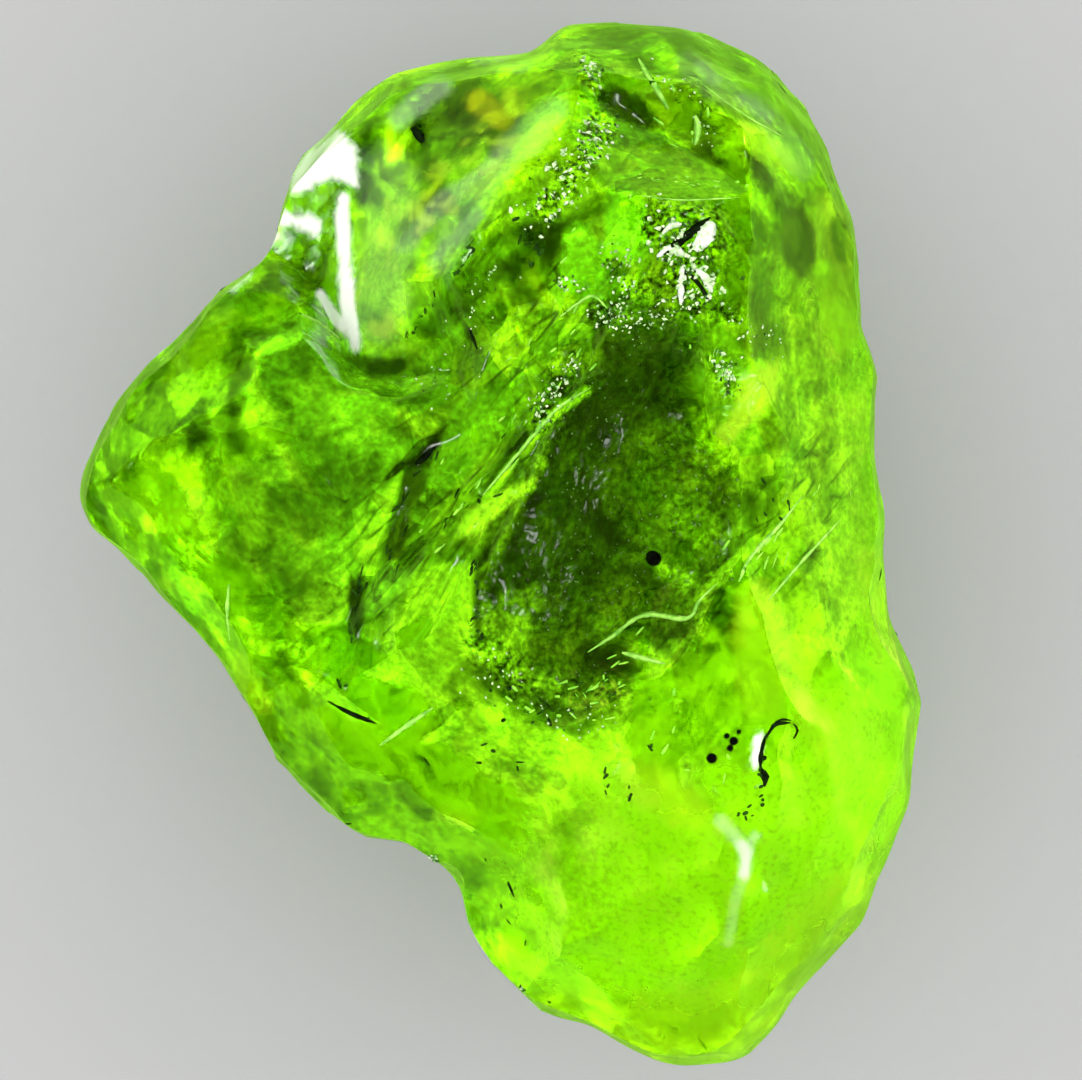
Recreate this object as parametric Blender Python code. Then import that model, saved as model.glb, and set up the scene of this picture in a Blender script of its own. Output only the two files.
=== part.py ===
"""A rough peridot crystal, lying on its flattest break.

The stone is one lump of broken gem crystal, 14 mm long. X runs to the right and Y to the top of
the side that is looked at, +Z points up out of that side, and the origin is under the middle of the
stone, on the surface that it lies on.

The shape is knapped in code. The front is set out by named ridges, rims and hollows, with a break
face between each three points. A field then says for any point how far it is outside the stone: the
front, the outline and side walls, the break faces of the underside, the named hollows, and the small
scallops that later knocks have left. A ball of small squares is pushed out from the heart of the
stone until every corner meets the surface, and squares that say nothing are merged.
"""

import math
import random
from typing import NamedTuple

import bmesh
import bpy
import numpy as np
from mathutils import Vector, geometry, noise

MM = 0.001

# Driving sizes, in millimetres
LENGTH = 14.0
WIDTH = 11.3
THICKNESS = 7.8

# The heart of the stone, from which the surface is looked for in cautious steps
HEART = np.array((0.3, -0.2, 3.6))
REACH_STEPS = 46
CAUTION = 0.8
SLOPE_STEP = 0.02
SAME_PLACE = 1e-6
TINY = 1e-9

# The squares along each edge of the ball, and the triangles kept at the end
BALL_SQUARES = 76
TRIANGLES = 9400

# The outline seen from above, anticlockwise from the top of the stone, in millimetres
OUTLINE = (
    (1.75, 7.02), (0.75, 6.98), (0.55, 6.65), (0.15, 6.55), (-0.60, 6.52), (-1.35, 6.38),
    (-1.85, 6.05), (-2.35, 5.60), (-2.72, 5.18), (-2.88, 4.70), (-3.00, 4.12), (-3.20, 3.80),
    (-3.95, 3.28), (-4.52, 2.70), (-5.02, 2.08), (-5.40, 1.45), (-5.63, 0.95), (-5.66, 0.55),
    (-5.48, 0.25), (-5.12, 0.00), (-4.72, -0.42), (-4.12, -1.08), (-3.72, -1.58), (-3.32, -2.25),
    (-3.22, -2.50), (-2.80, -3.10), (-2.25, -3.65), (-1.85, -3.86), (-1.25, -3.95), (-0.78, -4.26),
    (-0.47, -4.62), (-0.46, -5.06), (-0.12, -5.58), (0.22, -6.02), (0.62, -6.28), (1.15, -6.36),
    (1.62, -6.66), (2.15, -6.93), (2.68, -6.98), (3.22, -6.86), (3.62, -6.52), (3.95, -5.98),
    (4.20, -5.68), (4.80, -5.18), (5.05, -4.55), (5.32, -3.90), (5.58, -3.28), (5.66, -2.50),
    (5.62, -1.92), (5.40, -1.42), (5.18, -0.95), (5.08, 0.00), (5.06, 1.35), (5.04, 2.25),
    (4.92, 2.62), (4.76, 2.95), (4.80, 3.70), (4.68, 4.40), (4.50, 5.00), (4.20, 5.55),
    (4.02, 5.95), (3.60, 6.42), (3.00, 6.75), (2.60, 6.92),
)
OUTLINE_STEPS = 720
ROUNDED_OVER = 2.0  # degrees of the outline
SOFTENED_OVER = 30.0  # degrees of the outline

# The side walls: the height of the widest line, how it swings up and down twice and three times on
# its way round, and how the walls draw in above and below it
WAIST_HEIGHT = 3.5
WAIST_SWING = 0.4
WAIST_TURN = 25.0
THREEFOLD_SHARE = 0.5
DRAW_IN = 0.13
DRAW_IN_POWER = 1.8
NOTCHES_FADE_OVER = 2.2


class Face(NamedTuple):
    """A break face: a point on it, the way it faces, its tilt from level and its bow.

    The bow is the radius of a face that bulges, or less than zero for a hollow one, and 0 is flat.
    """

    at: tuple
    facing: float
    tilt: float
    bow: float = 0.0


class Bite(NamedTuple):
    """A hollow left by a chip: the middle of its egg shape, its three radii and its turn."""

    centre: tuple
    radii: tuple
    turn: float = 0.0


class Scallop(NamedTuple):
    """A shallow round hollow: the middle and the radius of the ball that would fit in it."""

    centre: np.ndarray
    radius: float


# The front: each line of points is a ridge, a rim, the floor of a hollow or the foot of a slope
BLADE_RIDGE = (
    (1.13, 6.43, 5.70), (0.87, 5.52, 6.50), (0.33, 5.05, 6.85), (-0.23, 4.29, 6.95),
    (-0.80, 3.63, 6.45), (-1.27, 2.90, 5.60),
)
BLADE_FOOT = (
    (-1.71, 5.68, 4.75), (-1.97, 5.25, 4.85), (-2.00, 4.39, 4.75), (-2.13, 3.39, 4.75),
    (-1.91, 2.75, 5.10),
)
BLADE_HOLLOW = ((0.00, 6.12, 5.35), (-0.60, 5.25, 5.95), (-1.13, 4.39, 5.95), (-1.53, 3.45, 5.65))
NOTCH = (
    (-3.09, 3.92, 3.90), (-2.51, 3.59, 4.25), (-1.97, 2.30, 4.90), (-1.33, 2.15, 5.40),
    (-0.60, 2.30, 5.95),
)
LOBE_RIM = ((-3.53, 3.48, 4.45), (-2.73, 3.01, 5.15), (-2.07, 2.12, 5.75), (-1.33, 1.92, 5.90))
LOBE_TOP = (
    (-5.13, 0.85, 4.75), (-4.47, 1.39, 5.40), (-3.60, 1.65, 5.90), (-2.67, 1.39, 6.10),
    (-2.13, 0.59, 5.95),
)
LOBE_FOOT = ((-4.67, 0.12, 4.75), (-3.93, -0.41, 5.15), (-3.40, -1.41, 4.90))
VALLEY = ((-1.07, 1.25, 5.85), (-1.53, 0.19, 5.60), (-2.07, -0.88, 5.35), (-2.67, -1.55, 5.10))
SLOPE = (
    (0.00, 2.85, 6.70), (-0.33, 1.65, 6.45), (-0.87, 0.05, 6.30), (-1.33, -1.01, 6.15),
    (-2.00, -1.95, 5.55),
)
WINDOW_RIM = (
    (1.97, 3.21, 7.50), (1.23, 2.79, 7.35), (0.60, 1.59, 7.10), (-0.04, 0.32, 6.90),
    (-0.33, -1.01, 6.60), (0.00, -2.01, 6.45), (0.93, -2.48, 6.55), (1.87, -1.95, 6.75),
    (2.67, -1.04, 6.85), (3.23, -0.08, 6.90), (3.20, 0.85, 6.90), (2.69, 1.65, 7.00),
    (2.67, 2.79, 7.40),
)
WINDOW_FLOOR = (
    (2.07, 2.25, 6.60), (1.60, 1.25, 6.15), (1.33, 0.05, 5.90), (0.80, -1.08, 5.85),
    (2.00, -0.61, 6.05),
)
CROWN_RIDGE = ((1.33, 4.72, 7.15), (1.87, 4.59, 7.50), (2.53, 3.85, 7.80), (3.27, 2.99, 7.10))
CROWN_EDGE = ((2.53, 6.03, 6.00), (3.27, 5.52, 6.35), (3.29, 4.59, 7.00), (3.36, 3.76, 7.05))
CROWN_HOLLOW = ((1.49, 5.99, 5.75), (2.00, 5.55, 5.95))
SHOULDER = ((0.80, 4.12, 6.75), (0.60, 3.25, 6.80))
RIGHT_EDGE = (
    (3.63, 6.03, 4.95), (4.00, 5.39, 5.20), (4.07, 4.39, 5.75), (4.00, 2.99, 5.90),
    (4.11, 1.39, 6.05), (4.16, -0.08, 6.05), (4.40, -1.28, 6.00), (4.67, -2.35, 5.95),
)
PALE_FACET = ((3.36, 2.35, 6.95), (3.71, 1.59, 6.45), (2.96, 1.28, 7.00))
TOE_BACK = ((2.67, -2.08, 6.85), (3.60, -1.41, 6.75), (4.00, -2.88, 6.75))
TOE_TOP = (
    (0.80, -3.61, 5.85), (1.87, -3.41, 6.50), (2.87, -3.81, 6.75), (3.13, -5.01, 6.20),
    (3.27, -6.15, 5.00),
)
TOE_LEFT = ((1.87, -4.88, 5.95), (0.87, -5.28, 5.30), (1.60, -6.08, 4.90))
TOE_RIGHT = ((4.07, -4.48, 5.85), (4.60, -4.08, 5.40))
LOWER_LEFT = ((-2.27, -2.68, 4.95), (-1.33, -2.81, 5.50), (-0.60, -3.61, 5.20), (0.07, -4.48, 4.75))
FRONT_LINES = (
    BLADE_RIDGE, BLADE_FOOT, BLADE_HOLLOW, NOTCH, LOBE_RIM, LOBE_TOP, LOBE_FOOT, VALLEY, SLOPE,
    WINDOW_RIM, WINDOW_FLOOR, CROWN_RIDGE, CROWN_EDGE, CROWN_HOLLOW, SHOULDER, RIGHT_EDGE,
    PALE_FACET, TOE_BACK, TOE_TOP, TOE_LEFT, TOE_RIGHT, LOWER_LEFT,
)

# Beyond the outline the front runs down to a skirt, this many times as far out and this high
SKIRT_REACH = 1.14
SKIRT_HEIGHT = 3.6
SKIRT_EVERY = 2
BEYOND_SKIRT = 2.6

# The front as a grid of heights, and the smooth places on it: middle, radius and how smooth. They
# fade out over this share of their radius.
CELL = 0.05
GRID_CORNER = (-7.5, -8.5)
GRID_CELLS = (300, 340)
CRISP_BLUR = 1
SMOOTH_BLUR = 7
SMOOTH_PLACES = (
    (3.0, -3.9, 2.9, 1.0),
    (4.6, 0.6, 1.5, 0.9),
    (4.5, 3.6, 1.2, 0.7),
    (-3.5, 0.6, 1.7, 0.9),
    (-1.0, 4.6, 1.1, 0.9),
    (1.4, 0.3, 1.5, 0.7),
)
SMOOTH_FADE = 0.5
GENTLE_STEEPNESS = 0.7

# The underside, whose faces start just below the widest line
UNDERSIDE = (
    Face((-5.20, 0.90, 3.10), 186.0, 134.0, -14.0),
    Face((-3.90, 3.10, 2.70), 140.0, 131.0),
    Face((-2.30, 5.50, 2.60), 128.0, 127.0, -12.0),
    Face((1.10, 6.80, 2.90), 95.0, 131.0, 16.0),
    Face((3.90, 5.70, 2.70), 52.0, 128.0),
    Face((4.80, 3.20, 2.80), 8.0, 125.0, -14.0),
    Face((5.10, 0.60, 2.50), 356.0, 129.0, 20.0),
    Face((5.40, -2.60, 2.90), 340.0, 133.0, -10.0),
    Face((4.20, -5.40, 2.60), 312.0, 130.0),
    Face((2.40, -6.60, 2.80), 276.0, 134.0, -12.0),
    Face((-0.20, -5.20, 2.60), 240.0, 128.0),
    Face((-2.40, -3.60, 2.70), 228.0, 133.0, 15.0),
    Face((-4.30, -0.90, 2.70), 222.0, 130.0, -12.0),
    Face((-1.40, 1.00, 0.25), 200.0, 158.0),
    Face((2.60, 2.40, 0.20), 40.0, 157.0),
    Face((2.40, -2.60, 0.20), 310.0, 159.0),
)

# The named hollows round the sides and the underside
BITES = (
    Bite((-3.75, 4.75, 5.40), (0.95, 1.20, 2.10), 30.0),
    Bite((-0.05, 7.40, 5.90), (1.20, 0.85, 1.60), 0.0),
    Bite((-1.60, -5.10, 5.20), (1.40, 0.80, 2.20), 35.0),
    Bite((5.15, -6.60, 4.80), (1.10, 0.85, 2.20), 40.0),
    Bite((5.80, 3.00, 5.40), (0.95, 1.20, 2.40), 0.0),
    Bite((-5.90, -1.60, 2.20), (1.50, 1.30, 1.60), 30.0),
    Bite((6.10, -0.40, 1.90), (1.10, 1.50, 1.40), 0.0),
    Bite((-2.60, 6.70, 2.00), (1.40, 1.20, 1.40), 40.0),
    Bite((0.20, -6.90, 1.60), (1.40, 1.10, 1.20), 20.0),
)

# The long narrow steps that run down the slope: how many, their line, how far they stray to either
# side of it, their radii, turn and depth, and the wave that makes them uneven and fans them out
STEPS = 10
STEPS_FROM = (0.85, 3.10)
STEPS_TO = (-1.55, -1.10)
STEPS_STRAY = 0.42
STEP_RADII = (1.50, 0.36, 0.50)
STEPS_TURN = 52.0
STEP_DEPTH = 0.09
STEP_WAVE = 2.4
STEP_UNEVENNESS = 0.3
STEP_FAN = 8.0

# The shallow scallops that knocks have left on all that is flat or stands out, smaller on the front:
# how many are tried, the radii and depths to draw from, and how the ball of each is felt all round
SCALLOPS = 520
SCALLOP_SEED = 11
SCALLOPS_STRAY = 0.5
FRONT_SCALLOPS = ((1.5, 6.0), (0.03, 0.10))
UNDER_SCALLOPS = ((2.5, 8.0), (0.05, 0.17))
UNDER_SCALLOPS_BELOW = 3.4
LEAST_FACING = 0.35
FEELERS = 8
FEELER_LEANS = (1.2, 1.7, 2.3, 3.0, 4.0, 5.2)
DEEPEST_FEEL = 0.04

# The slow ripple and the small etch marks, as depth and spacing in millimetres
RIPPLE_DEPTH = 0.045
RIPPLE_SPACING = 1.3
ETCH_DEPTH = 0.022
ETCH_SPACING = 0.42
RELIEF_FADES_OVER = 0.5
FLAT_WITHIN = 0.04

# How often and how firmly a corner is held to the middle of its squares, and how far it may leave it
PULLS = 2
HOLD = 0.08
FURTHEST_PULL = 0.12

PERIDOT_GREEN = (0.20, 0.62, 0.01, 1.0)
PERIDOT_IOR = 1.67
POLISH = 0.08


def clear_scene():
    for thing in list(bpy.data.objects):
        bpy.data.objects.remove(thing, do_unlink=True)


def averaged(values, reach):
    """Each value round a closed line replaced by the mean of those within that many steps."""
    return sum(np.roll(values, shift) for shift in range(-reach, reach + 1)) / (2 * reach + 1)


def outline_steps(degrees):
    """How many steps of the outline to either side span that many degrees."""
    return round(degrees / 2 * OUTLINE_STEPS / 360)


def outline_table():
    """The angle of the outline's first point, and its distances from the heart at even angles."""
    points = np.array(OUTLINE) - HEART[:2]
    angles = np.unwrap(np.arctan2(points[:, 1], points[:, 0]))
    radii = np.hypot(points[:, 0], points[:, 1])
    turn = 2 * math.pi
    around = np.linspace(0.0, turn, OUTLINE_STEPS, endpoint=False) + angles[0]
    closed = np.append(angles, angles[0] + turn), np.append(radii, radii[0])
    rounding = outline_steps(ROUNDED_OVER)
    return angles[0], averaged(averaged(np.interp(around, *closed), rounding), rounding)


OUTLINE_START, OUTLINE_RADII = outline_table()
SOFT_RADII = averaged(OUTLINE_RADII, outline_steps(SOFTENED_OVER))


def at_angle(table, angle):
    """The value of a table round the outline at each angle."""
    place = (angle - OUTLINE_START) / (2 * math.pi) % 1.0 * len(table)
    low = np.floor(place).astype(int) % len(table)
    share = place - np.floor(place)
    return table[low] * (1 - share) + table[(low + 1) % len(table)] * share


def wall_distance(points):
    """How far each point is outside the side walls."""
    flat = points[:, :2] - HEART[:2]
    angle = np.arctan2(flat[:, 1], flat[:, 0])
    turn = math.radians(WAIST_TURN)
    swing = np.sin(2 * angle + turn) + THREEFOLD_SHARE * np.sin(3 * angle)
    swing /= 1 + THREEFOLD_SHARE
    away = np.abs(points[:, 2] - WAIST_HEIGHT - WAIST_SWING * swing)
    fade = np.clip(away / NOTCHES_FADE_OVER, 0, 1) ** 2
    radius = at_angle(OUTLINE_RADII, angle) * (1 - fade) + at_angle(SOFT_RADII, angle) * fade
    return np.hypot(flat[:, 0], flat[:, 1]) - radius + DRAW_IN * away**DRAW_IN_POWER


def face_distance(points, face):
    """How far each point is outside a break face."""
    facing, tilt = math.radians(face.facing), math.radians(face.tilt)
    flat = np.array((math.cos(facing), math.sin(facing), 0.0))
    normal = flat * math.sin(tilt) + np.array((0.0, 0.0, math.cos(tilt)))
    away = points - np.array(face.at)
    if face.bow == 0:
        return away @ normal
    return np.sign(face.bow) * (np.linalg.norm(away + normal * face.bow, axis=1) - abs(face.bow))


def bite_distance(points, bite):
    """How far each point is inside a hollow, and so outside the stone."""
    turn = math.radians(bite.turn)
    away = points - np.array(bite.centre)
    along = away[:, 0] * math.cos(turn) + away[:, 1] * math.sin(turn)
    across = away[:, 1] * math.cos(turn) - away[:, 0] * math.sin(turn)
    inside = np.stack((along, across, away[:, 2]), axis=1) / np.array(bite.radii)
    return (1 - np.linalg.norm(inside, axis=1)) * min(bite.radii)


def underside_distance(points):
    return np.max([face_distance(points, face) for face in UNDERSIDE], axis=0)


def front_triangles():
    """The break faces of the front, as the corners of its triangles."""
    points = []
    ridges = []
    for line in FRONT_LINES:
        ridges += [(len(points) + step, len(points) + step + 1) for step in range(len(line) - 1)]
        points += line
    heart = HEART[:2]
    for place in OUTLINE[::SKIRT_EVERY]:
        far = heart + (np.array(place) - heart) * SKIRT_REACH
        points.append((far[0], far[1], SKIRT_HEIGHT))
    places = [Vector(point[:2]) for point in points]
    found = geometry.delaunay_2d_cdt(places, ridges, [], 0, SAME_PLACE)
    corners, faces, sources = found[0], found[2], found[3]
    heights = [points[source[0]][2] for source in sources]
    return np.array(
        [[(*corners[index], heights[index]) for index in face] for face in faces]
    )


def blurred(grid, cells):
    """The grid with each cell replaced by the mean of those around it, twice over."""
    for axis in (0, 1, 0, 1):
        shifts = range(-cells, cells + 1)
        grid = sum(np.roll(grid, shift, axis=axis) for shift in shifts) / len(shifts)
    return grid


def front_heights():
    """The height of the front over a grid of small cells, smooth where the stone is smooth."""
    across = GRID_CORNER[0] + CELL * np.arange(GRID_CELLS[0])
    along = GRID_CORNER[1] + CELL * np.arange(GRID_CELLS[1])
    x, y = np.meshgrid(across, along)
    heights = np.full(x.shape, BEYOND_SKIRT)
    for first, second, third in front_triangles():
        side, other = second[:2] - first[:2], third[:2] - first[:2]
        area = side[0] * other[1] - side[1] * other[0]
        right, up = x - first[0], y - first[1]
        share = (right * other[1] - up * other[0]) / area
        rest = (side[0] * up - side[1] * right) / area
        within = (share >= 0) & (rest >= 0) & (share + rest <= 1)
        level = first[2] + share * (second[2] - first[2]) + rest * (third[2] - first[2])
        heights = np.where(within, level, heights)
    crisp = blurred(heights, CRISP_BLUR)
    smooth = blurred(heights, SMOOTH_BLUR)
    mix = np.zeros(x.shape)
    for right, up, radius, share in SMOOTH_PLACES:
        inner = np.clip((1 - np.hypot(x - right, y - up) / radius) / SMOOTH_FADE, 0, 1)
        mix = np.maximum(mix, share * inner)
    return crisp * (1 - mix) + smooth * mix


FRONT = front_heights()


def front_distance(points):
    """How far each point is in front of the stone."""
    across = (points[:, 0] - GRID_CORNER[0]) / CELL
    along = (points[:, 1] - GRID_CORNER[1]) / CELL
    column = np.clip(across.astype(int), 0, GRID_CELLS[0] - 2)
    row = np.clip(along.astype(int), 0, GRID_CELLS[1] - 2)
    right, up = np.clip(across - column, 0, 1), np.clip(along - row, 0, 1)
    low = FRONT[row, column] * (1 - right) + FRONT[row, column + 1] * right
    high = FRONT[row + 1, column] * (1 - right) + FRONT[row + 1, column + 1] * right
    return (points[:, 2] - low * (1 - up) - high * up) * GENTLE_STEEPNESS


def step_bites():
    """The narrow hollows of the stepped slope, one after another from the ridge to the lobe."""
    turn = math.radians(STEPS_TURN)
    across = np.array((math.sin(turn), -math.cos(turn)))
    bites = []
    for step, place in enumerate(np.linspace(STEPS_FROM, STEPS_TO, STEPS)):
        wave = math.sin(step * STEP_WAVE)
        x, y = place + across * STEPS_STRAY * wave
        long, wide, deep = np.array(STEP_RADII) * (1 + STEP_UNEVENNESS * wave)
        level = THICKNESS - front_distance(np.array([(x, y, THICKNESS)]))[0] / GENTLE_STEEPNESS
        centre = (x, y, level + deep - STEP_DEPTH)
        bites.append(Bite(centre, (long, wide, deep), STEPS_TURN + STEP_FAN * wave))
    return bites


ALL_BITES = (*BITES, *step_bites())


def outside(points, scallops=()):
    """The field: above 0 outside the stone, below 0 inside it."""
    field = np.maximum(front_distance(points), wall_distance(points))
    field = np.maximum(field, underside_distance(points))
    field = np.maximum(field, np.maximum(-points[:, 2], points[:, 2] - THICKNESS))
    for bite in ALL_BITES:
        field = np.maximum(field, bite_distance(points, bite))
    for scallop in scallops:
        away = np.linalg.norm(points - scallop.centre, axis=1)
        field = np.maximum(field, scallop.radius - away)
    return field


def to_surface(points, scallops=()):
    """Each point moved along its line from the heart to the surface.

    The faces and hollows are met step by step, and the balls of the scallops in one sum.
    """
    rays = points - HEART
    rays /= np.linalg.norm(rays, axis=1, keepdims=True)
    distance = np.zeros(len(rays))
    for _ in range(REACH_STEPS):
        distance -= CAUTION * outside(HEART + rays * distance[:, None])
    for scallop in scallops:
        along = rays @ (scallop.centre - HEART)
        square = along**2 - (scallop.centre - HEART) @ (scallop.centre - HEART) + scallop.radius**2
        entry = along - np.sqrt(np.maximum(square, 0))
        met = (square > 0) & (entry > 0)
        distance = np.where(met, np.minimum(distance, entry), distance)
    return HEART + rays * distance[:, None]


def surface_normals(points, scallops=()):
    """The field's slope at each point, as a unit normal that points out of the stone."""
    steps = np.eye(3) * SLOPE_STEP
    slope = [outside(points + step, scallops) - outside(points - step, scallops) for step in steps]
    slope = np.stack(slope, axis=1)
    return slope / np.maximum(np.linalg.norm(slope, axis=1, keepdims=True), TINY)


def even_rays(count, draw):
    """Directions spread evenly all round, each turned a little at random."""
    golden = math.pi * (3 - math.sqrt(5))
    rays = []
    for index in range(count):
        height = 1 - (2 * index + 1) / count
        around = index * golden + draw.uniform(-SCALLOPS_STRAY, SCALLOPS_STRAY)
        flat = math.sqrt(1 - height * height)
        rays.append((math.cos(around) * flat, math.sin(around) * flat, height))
    return np.array(rays)


def stays_small(scallop, normal, depth):
    """Whether the ball of a scallop meets the stone nowhere beyond the scallop itself."""
    aside = Vector(normal).orthogonal().normalized()
    around = Vector(normal).cross(aside)
    turns = [2 * math.pi * feeler / FEELERS for feeler in range(FEELERS)]
    ring = np.array([aside * math.cos(turn) + around * math.sin(turn) for turn in turns])
    edge = math.acos(1 - depth / scallop.radius)
    for lean in np.array(FEELER_LEANS) * edge:
        felt = ring * math.sin(lean) - normal * math.cos(lean)
        if outside(scallop.centre + felt * scallop.radius).min() < -DEEPEST_FEEL:
            return False
    return True


def knocks():
    """The scallops: none in a hollow, and none on the resting face."""
    draw = random.Random(SCALLOP_SEED)
    stretch = np.array((WIDTH, LENGTH, THICKNESS)) / LENGTH
    points = to_surface(HEART + even_rays(SCALLOPS, draw) * stretch)
    normals = surface_normals(points)
    rays = (points - HEART) / np.linalg.norm(points - HEART, axis=1, keepdims=True)
    scallops = []
    for point, normal, ray in zip(points, normals, rays):
        radii, depths = UNDER_SCALLOPS if point[2] < UNDER_SCALLOPS_BELOW else FRONT_SCALLOPS
        radius = draw.uniform(*radii)
        depth = draw.uniform(*depths)
        if normal @ ray < LEAST_FACING or point[2] < RELIEF_FADES_OVER:
            continue
        scallop = Scallop(point + normal * (radius - depth), radius)
        if stays_small(scallop, normal, depth):
            scallops.append(scallop)
    return scallops


def squared_ball():
    """A cube of small squares blown up to a ball, in the stone's proportions."""
    ball = bmesh.new()
    bmesh.ops.create_cube(ball, size=2.0)
    bmesh.ops.subdivide_edges(ball, edges=ball.edges[:], cuts=BALL_SQUARES - 1, use_grid_fill=True)
    stretch = Vector((WIDTH, LENGTH, THICKNESS)) / LENGTH
    for corner in ball.verts:
        even = Vector([math.tan(value * math.pi / 4) for value in corner.co])
        corner.co = even.normalized() * stretch
    return ball


def pull_to_ridges(points, squares, scallops):
    """Moves each corner to where the break faces around it meet, so that ridges come out sharp."""
    middles = to_surface(points[squares].mean(axis=1), scallops)
    normals = surface_normals(middles, scallops)
    count = len(points)
    matrix = np.zeros((count, 3, 3))
    target = np.zeros((count, 3))
    centre = np.zeros((count, 3))
    around = np.zeros(count)
    outer = normals[:, :, None] * normals[:, None, :]
    pushed = normals * (normals * middles).sum(axis=1, keepdims=True)
    for corner in squares.T:
        np.add.at(matrix, corner, outer)
        np.add.at(target, corner, pushed)
        np.add.at(centre, corner, middles)
        np.add.at(around, corner, 1.0)
    centre /= around[:, None]
    matrix += HOLD * np.eye(3)
    target += HOLD * centre
    step = np.linalg.solve(matrix, target[:, :, None])[:, :, 0] - centre
    length = np.linalg.norm(step, axis=1, keepdims=True)
    return centre + step * np.minimum(1.0, FURTHEST_PULL / np.maximum(length, TINY))


def etched(points, normals):
    """The points moved by slow ripples and small etch marks, which leave the resting face flat."""
    depth = np.empty(len(points))
    for index, place in enumerate(points):
        ripple = noise.noise(Vector(place) / RIPPLE_SPACING)
        etch = noise.noise(Vector(place) / ETCH_SPACING)
        depth[index] = RIPPLE_DEPTH * ripple + ETCH_DEPTH * etch
    depth *= np.clip(points[:, 2] / RELIEF_FADES_OVER, 0, 1)
    moved = points + normals * depth[:, None]
    moved[:, 2] = np.clip(moved[:, 2], 0.0, THICKNESS)
    return moved


def peridot_material():
    material = bpy.data.materials.new("peridot")
    material.use_nodes = True
    shader = material.node_tree.nodes["Principled BSDF"]
    shader.inputs["Base Color"].default_value = PERIDOT_GREEN
    shader.inputs["Roughness"].default_value = POLISH
    shader.inputs["Metallic"].default_value = 0.0
    shader.inputs["IOR"].default_value = PERIDOT_IOR
    shader.inputs["Transmission Weight"].default_value = 1.0
    return material


def knapped_mesh():
    """The whole surface in small squares, as a mesh in metres."""
    ball = squared_ball()
    squares = np.array([[corner.index for corner in face.verts] for face in ball.faces])
    scallops = knocks()
    points = to_surface(np.array([corner.co for corner in ball.verts]) + HEART, scallops)
    for _ in range(PULLS):
        points = pull_to_ridges(points, squares, scallops)
    points = etched(points, surface_normals(points, scallops)) * MM
    for corner, place in zip(ball.verts, points):
        corner.co = place
    bmesh.ops.recalc_face_normals(ball, faces=ball.faces[:])
    bmesh.ops.triangulate(ball, faces=ball.faces[:], quad_method="SHORT_EDGE")
    mesh = bpy.data.meshes.new("knapped")
    ball.to_mesh(mesh)
    ball.free()
    return mesh


def merged(mesh):
    """The mesh with only the triangles that its ridges and hollows need."""
    holder = bpy.data.objects.new("holder", mesh)
    bpy.context.scene.collection.objects.link(holder)
    fewer = holder.modifiers.new("fewer", "DECIMATE")
    fewer.ratio = TRIANGLES / len(mesh.polygons)
    fewer.use_collapse_triangulate = True
    evaluated = holder.evaluated_get(bpy.context.evaluated_depsgraph_get())
    result = bpy.data.meshes.new_from_object(evaluated)
    bpy.data.objects.remove(holder, do_unlink=True)
    return result


def settled(mesh):
    """Centres the mesh's box on the origin and makes the face that it rests on truly flat."""
    points = np.array([corner.co for corner in mesh.vertices])
    low, high = points.min(axis=0), points.max(axis=0)
    shift = Vector(((low[0] + high[0]) / 2, (low[1] + high[1]) / 2, low[2]))
    for corner in mesh.vertices:
        corner.co -= shift
        if corner.co.z < FLAT_WITHIN * MM:
            corner.co.z = 0.0
    return mesh


def peridot_crystal():
    mesh = settled(merged(knapped_mesh()))
    mesh.name = "peridot_crystal"
    stone = bpy.data.objects.new("peridot_crystal", mesh)
    bpy.context.scene.collection.objects.link(stone)
    mesh.materials.append(peridot_material())
    return stone


clear_scene()
peridot_crystal()
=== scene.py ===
# %% [markdown]
# # A rough peridot crystal
#
# This lesson dresses one piece of gem rough: a clear lime-green lump, 14 mm long, with broken and
# stepped faces. The shape already exists as a plain solid of flat triangles. What is left to make is
# what the eye takes for a gem: soft faces between crisp ridges, finely etched edges that glitter, a
# body that colours the light on its way through, and the cracks and grains that grew inside it.

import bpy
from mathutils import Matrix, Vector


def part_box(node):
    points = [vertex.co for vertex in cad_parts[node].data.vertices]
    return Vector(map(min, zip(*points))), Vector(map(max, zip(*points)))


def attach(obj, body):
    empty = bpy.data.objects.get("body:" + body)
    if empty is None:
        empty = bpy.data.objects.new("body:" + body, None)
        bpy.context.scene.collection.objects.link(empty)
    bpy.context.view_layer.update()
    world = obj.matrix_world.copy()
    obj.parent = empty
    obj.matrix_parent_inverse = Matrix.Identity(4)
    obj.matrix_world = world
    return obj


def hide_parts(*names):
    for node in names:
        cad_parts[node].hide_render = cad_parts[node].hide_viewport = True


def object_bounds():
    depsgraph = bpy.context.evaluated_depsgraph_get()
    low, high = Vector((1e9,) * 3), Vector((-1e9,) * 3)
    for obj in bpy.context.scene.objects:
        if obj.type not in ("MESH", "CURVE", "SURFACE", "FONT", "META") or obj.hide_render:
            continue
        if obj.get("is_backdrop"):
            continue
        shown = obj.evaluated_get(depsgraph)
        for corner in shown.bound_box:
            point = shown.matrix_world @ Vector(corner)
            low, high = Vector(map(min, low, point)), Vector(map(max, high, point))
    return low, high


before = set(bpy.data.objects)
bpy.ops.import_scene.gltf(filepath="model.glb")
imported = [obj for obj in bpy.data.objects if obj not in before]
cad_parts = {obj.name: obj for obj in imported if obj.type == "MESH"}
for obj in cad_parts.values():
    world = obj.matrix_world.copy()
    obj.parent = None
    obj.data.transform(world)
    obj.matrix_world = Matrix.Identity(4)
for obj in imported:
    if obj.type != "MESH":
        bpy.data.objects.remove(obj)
cad_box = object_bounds()
print("the solid's box, in metres:", [list(corner) for corner in cad_box])

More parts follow.
